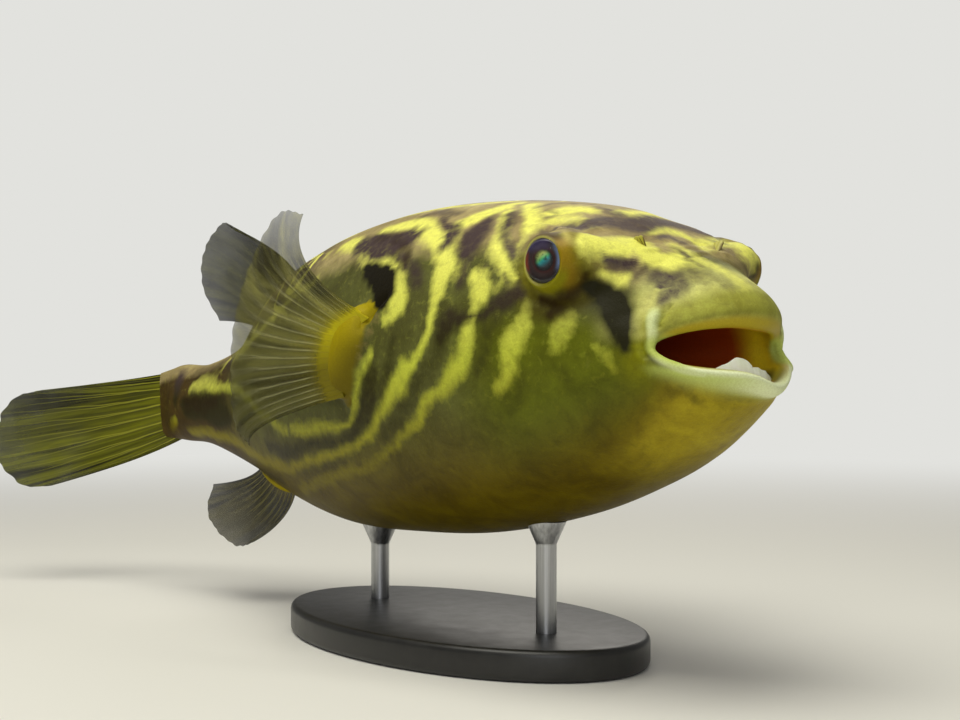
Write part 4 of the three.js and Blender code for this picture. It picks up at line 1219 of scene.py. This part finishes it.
fins = {  # each fans out from its root line to its rim
    "pectoral": {
        "root": [(146, 60.5, 21.5), (155, 66, 15.5), (161, 68, 3), (160.5, 64.5, -10)],
        "rim": [(158, 77, 61), (168, 81, 63), (186, 85, 47), (199, 87, 24), (205, 86, 0), (204, 85, -19),
                (200, 82, -26)],
        "bow": (6, 8, 0), "rays": 19, "web": paint(150, 146, 84), "ray": paint(200, 198, 146),
        "base": paint(178, 166, 8), "baseLow": paint(112, 102, 4), "clear": 0.6, "fade": 0.6, "dark": 0.25,
        "flesh": 0.1, "rayEnd": 0.72,
    },
    "dorsal": {
        "root": [(282, 0, 51), (292, -1, 45), (302, -1, 36), (310, -1, 29)],
        "rim": [(308, -19, 79), (315, -21, 83), (327, -23, 74), (334, -21, 57), (333, -12, 38)],
        "bow": (0, 5, 2), "rays": 12, "web": paint(84, 84, 44), "ray": paint(124, 124, 68),
        "base": paint(140, 130, 30), "baseLow": paint(120, 106, 20), "clear": 0.82, "fade": 0.0, "dark": 0.5,
        "flesh": 0.08, "rayEnd": 0.9,
    },
    "anal": {
        "root": [(294, 0, -45), (301, -1, -41), (309, -1, -36), (316, -1, -32)],
        "rim": [(316, -11, -69), (324, -13, -71), (338, -15, -63), (347, -13, -52), (346, -9, -41)],
        "bow": (0, 5, -2), "rays": 11, "web": paint(82, 76, 30), "ray": paint(126, 118, 60),
        "base": paint(130, 112, 16), "baseLow": paint(112, 96, 12), "clear": 0.82, "fade": 0.0, "dark": 0.5,
        "flesh": 0.08, "rayEnd": 0.9,
    },
    "caudal": {
        "root": [(375, 0, 17.5), (375, 0, 6), (375, 0, -6), (375, 0, -16)],
        "rim": [(461, -26, 13), (474, -33, 10), (484, -38, -1), (487, -39, -14), (483, -37, -27),
                (471, -32, -37), (458, -25, -38)],
        "bow": (0, 9, 0), "rays": 10, "web": paint(124, 126, 6), "ray": paint(160, 160, 40),
        "base": paint(104, 104, 10), "baseLow": paint(96, 92, 6), "clear": 0.97, "fade": 0.0, "dark": 0.85,
        "flesh": 0.05, "rayEnd": 1.0,
    },
}
finMesh = {"columns": 200, "rows": 64, "root": 3.0, "web": 0.9, "edge": 0.45, "ripple": 0.25, "wave": 0.36,
           "fray": 1 / 300, "torn": 0.014, "sunk": 0.04}


def centripetal(points, t):  # the same smooth curve as the solids' fins follow
    points = np.array(points, float)
    count = len(points) - 1
    at = t * count
    i = np.clip(np.floor(at), 0, count - 1).astype(int)
    w = (at - i)[:, None]
    padded = np.vstack([2 * points[0] - points[1], points, 2 * points[-1] - points[-2]])
    p0, p1, p2, p3 = (padded[i + k] for k in range(4))
    pairs = ((p0, p1), (p1, p2), (p2, p3))
    d = [np.maximum(np.linalg.norm(b - a, axis=1) ** 0.5, 1e-4)[:, None] for a, b in pairs]
    t1 = ((p1 - p0) / d[0] - (p2 - p0) / (d[0] + d[1]) + (p2 - p1) / d[1]) * d[1]
    t2 = ((p2 - p1) / d[1] - (p3 - p1) / (d[1] + d[2]) + (p3 - p2) / d[2]) * d[1]
    return p1 + t1 * w + (3 * (p2 - p1) - 2 * t1 - t2) * w ** 2 + (2 * (p1 - p2) + t1 + t2) * w ** 3


def makeFinMaterial(name, look):
    material, tree, shader = newMaterial(name + "Web")
    uv = newWire(tree, "ShaderNodeUVMap", "UV", uv_map="fan")
    rays = useGroup(tree, finRays, {"Place": uv, "Rays": float(look["rays"])})
    ray, along = rays["Ray"], rays["Along"]
    streak = noiseNode(tree, stretch(tree, uv, 26.0, 2.0, 1.0), 1.0, 4.0, 0.6, 0.3)
    web = mixColour(tree, streak * look["dark"], look["web"], paint(40, 38, 16))
    broad = noiseNode(tree, stretch(tree, uv, 9.0, 0.9, 1.0), 1.0, 3.0, 0.6, 0.8)
    broad = rampNode(tree, broad, (0.4, paint(104, 100, 76)), (0.62, paint(255, 255, 240)))
    web = mixColour(tree, 1.0, web, broad, "MULTIPLY")
    lower = (rays["Across"] * 3.0 - 1.1).clamped()
    base = mixColour(tree, lower, look["base"], look["baseLow"])
    web = mixColour(tree, lower * look["fade"], web, paint(40, 38, 12))
    web = mixColour(tree, (along * -2.2 + 0.6).clamped(), web, base)
    fleshEnd = along + (streak - 0.5) * 0.05 - ray * 0.03
    nearRoot = ((fleshEnd - look["flesh"]) * -16.0 + 0.5).clamped()
    rayFade = ray * (((look["rayEnd"] - along).clamped() * 1.3).clamped() + 0.08)
    colour = mixColour(tree, rayFade, web, look["ray"])
    colour = mixColour(tree, nearRoot, colour, base)
    mottle = noiseNode(tree, objectPlace(tree), 60.0, 4.0, 0.6)
    thin = (mottle - 0.5) * 0.25 + look["clear"] - mathNode(tree, "POWER", along, 3.0) * 0.22
    alpha = mathNode(tree, "MAXIMUM", mathNode(tree, "MAXIMUM", thin, rayFade * 0.95), nearRoot).clamped()
    setShader(tree, shader, Base_Color=colour, Roughness=0.42, Alpha=alpha, Specular_IOR_Level=0.2,
              Normal=bumpNode(tree, ray, 0.35, 0.0004))
    return material


def makeFin(name, look, hand, material, node):
    form = finMesh
    fin, t, s = addGrid(form["columns"], form["rows"])
    mirror = np.array([1, hand, 1])
    rootLine, rimLine = centripetal(look["root"], t) * mirror, centripetal(look["rim"], t) * mirror
    phase = 2 * np.pi * look["rays"] * t
    rng = np.random.default_rng(len(name))
    fray = 1 - form["fray"] * (1 - np.cos(phase)) - form["torn"] * through(rng.random(12), t * 11)
    reach = (s * fray)[:, None] * (1 + form["sunk"]) - form["sunk"]  # the root runs on into the flesh
    points = rootLine + (rimLine - rootLine) * reach + look["bow"] * mirror * 4 * reach * (1 - reach)
    setPlaces(fin, points)
    depth = form["ripple"] * np.cos(phase) * ease(s, 0, 0.3)
    depth += form["wave"] * np.sin(3 * np.pi * t + 1) * ease(s, 0.5, 1)
    setPlaces(fin, posed(points + outward(fin) * depth[:, None]))
    layer = fin.data.uv_layers.active
    layer.name = "fan"
    corners = readAll(fin.data.loops, "vertex_index", 1, np.int32)[:, 0]
    layer.data.foreach_set("uv", np.stack([t, s], 1)[corners].ravel().astype(np.float32))
    thickness = fin.vertex_groups.new(name="thickness")
    for level in range(form["rows"] + 1):
        share = level / form["rows"]
        web = (form["web"] + (form["edge"] - form["web"]) * share) / form["root"]
        weight = web + (1 - web) * ease(share, look["flesh"] + 0.06, 0.02)
        members = np.flatnonzero(np.rint(s * form["rows"]) == level)
        thickness.add(members.tolist(), float(weight), "REPLACE")
    thicken(fin, form["root"], 0, "thickness")
    applyModifiers(fin)
    fin.vertex_groups.clear()
    finishPiece(fin, name + "_web", material, "fin", node)


for name, look in fins.items():
    material = makeFinMaterial(name, look)
    if name == "pectoral":
        for side, hand in (("right", -1), ("left", 1)):
            makeFin(f"pectoral_{side}", look, hand, material, f"pectoral_fin_{side}")
    else:
        makeFin(name, look, 1, material, f"{name}_fin")

stand = {"rim": 2.5, "rodRadius": 4, "rodSides": 48, "cupRadius": 8, "cupHeight": 9, "footHeight": 7}


def makeStandMaterials():
    plate, tree, shader = newMaterial("satinBlackPlate")
    spot = objectPlace(tree)
    dust = noiseNode(tree, spot, 120.0, 5.0, 0.6)
    colour = rampNode(tree, dust, (0.3, paint(26, 25, 24)), (0.75, paint(38, 37, 35)))
    setShader(tree, shader, Base_Color=colour, Roughness=dust * 0.2 + 0.28,
              Normal=bumpNode(tree, noiseNode(tree, spot, 900.0, 3.0), 0.08, 0.0002))
    rod, tree, shader = newMaterial("brushedRod")
    lines = noiseNode(tree, stretch(tree, objectPlace(tree), 900.0, 900.0, 12.0), 1.0, 3.0)
    colour = rampNode(tree, lines, (0.3, paint(150, 151, 153)), (0.7, paint(196, 197, 199)))
    setShader(tree, shader, Base_Color=colour, Metallic=1.0, Roughness=lines * 0.2 + 0.24,
              Normal=bumpNode(tree, lines, 0.1, 0.0001))
    return plate, rod


def makeStandPlate(material):
    low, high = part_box("stand_base")
    bpy.ops.mesh.primitive_cylinder_add(vertices=160, radius=0.5, depth=1, location=(low + high) / 2)
    plate = bpy.context.object
    plate.scale = high - low
    bpy.ops.object.transform_apply(location=True, rotation=True, scale=True)
    roundEdges(plate, stand["rim"], 4, 40)
    finishPiece(plate, "display_plate", material, "stand_plate", "stand_base")


def makeStandRod(name, material):
    low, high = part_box(f"stand_rod_{name}")
    centre = (low + high) / 2
    bpy.ops.mesh.primitive_cylinder_add(vertices=stand["rodSides"], radius=stand["rodRadius"] * mm,
                                        depth=high.z - low.z, location=centre)
    rod = bpy.context.object
    bpy.ops.object.transform_apply(location=True, rotation=True, scale=True)

    def spreadCup():  # rings are cut where the cup and the foot start, then the top is widened
        for cut in (high.z - stand["cupHeight"] * mm, low.z + stand["footHeight"] * mm):
            bpy.ops.mesh.select_all(action="SELECT")
            bpy.ops.mesh.bisect(plane_co=(centre.x, centre.y, cut), plane_no=(0, 0, 1))
        selectFaces(rod, lambda c: c.z > high.z - 1e-5)
        scale = stand["cupRadius"] / stand["rodRadius"]
        bpy.ops.transform.resize(value=(scale, scale, 1), center_override=(centre.x, centre.y, high.z))
    inEdit(rod, spreadCup)
    roundEdges(rod, 0.6, 3, 20)
    finishPiece(rod, f"display_rod_{name}", material, "stand_rod", f"stand_rod_{name}")


plateMaterial, rodMaterial = makeStandMaterials()
makeStandPlate(plateMaterial)
for name in ("front", "rear"):
    makeStandRod(name, rodMaterial)

room = {
    "floor": 6.0, "fade": (0.3, 1.3), "fill": 0.26,
    "tone": paint(232, 230, 224), "sky": paint(226, 226, 222),
}
lamps = {  # place in metres, size, power in watts, colour
    "overhead": ((0.12, -0.3, 1.0), 0.8, 9.5, paint(255, 253, 240)),
    "front": ((0.95, -0.75, 0.42), 0.7, 2.6, paint(252, 253, 255)),
    "behind": ((-0.8, 0.9, 0.7), 0.7, 2.5, paint(255, 250, 240)),
}


def mixShaders(tree, factor, first, second, end):
    mix = newWire(tree, "ShaderNodeMixShader", 0, {0: factor})
    for socket, shader in ((mix.socket.node.inputs[1], first), (mix.socket.node.inputs[2], second)):
        tree.links.new(shader.outputs[0], socket)
    tree.links.new(mix.socket, tree.nodes[end].inputs["Surface"])


def makeFloor():
    bpy.ops.mesh.primitive_circle_add(vertices=128, radius=room["floor"], fill_type="NGON")
    floor = bpy.context.object
    floor.name = "floor"
    material, tree, shader = newMaterial("paleFloor")
    faint = noiseNode(tree, objectPlace(tree), 1.5, 3.0)
    colour = mixColour(tree, faint * 0.1, room["tone"], paint(200, 198, 190))
    setShader(tree, shader, Base_Color=colour, Roughness=0.8)
    away = newWire(tree, "ShaderNodeVectorMath", "Value", {0: objectPlace(tree)}, operation="LENGTH")
    away = newWire(tree, "ShaderNodeMapRange", 0, {0: away, 1: room["fade"][0], 2: room["fade"][1]},
                   interpolation_type="SMOOTHSTEP")
    seen = away * newWire(tree, "ShaderNodeLightPath", "Is Camera Ray")
    glow = addNode(tree, "ShaderNodeEmission", {"Color": room["sky"], "Strength": 1.0})
    mixShaders(tree, seen, shader, glow, "Material Output")
    floor.data.materials.append(material)


def lightRoom():
    for name, (spot, size, power, colour) in lamps.items():
        bpy.ops.object.light_add(type="AREA", location=spot)
        lamp = bpy.context.object
        lamp.name = name + "Lamp"
        lamp.data.size, lamp.data.energy, lamp.data.color = size, power, colour[:3]
        aim = Vector((0, 0, 0.1)) - Vector(spot)
        lamp.rotation_euler = aim.to_track_quat("-Z", "Y").to_euler()
    world = scene.world = bpy.data.worlds.new("studio")
    world.use_nodes = True
    tree = world.node_tree
    sky = tree.nodes["Background"]
    feed(tree, sky.inputs, {"Color": room["sky"], "Strength": room["fill"]})
    seen = addNode(tree, "ShaderNodeBackground", {"Color": room["sky"], "Strength": 1.0})
    rays = [newWire(tree, "ShaderNodeLightPath", f"Is {kind} Ray") for kind in ("Camera", "Transmission")]
    mixShaders(tree, mathNode(tree, "MAXIMUM", *rays), sky, seen, "World Output")


makeFloor()
lightRoom()
print("floor and lamps set")
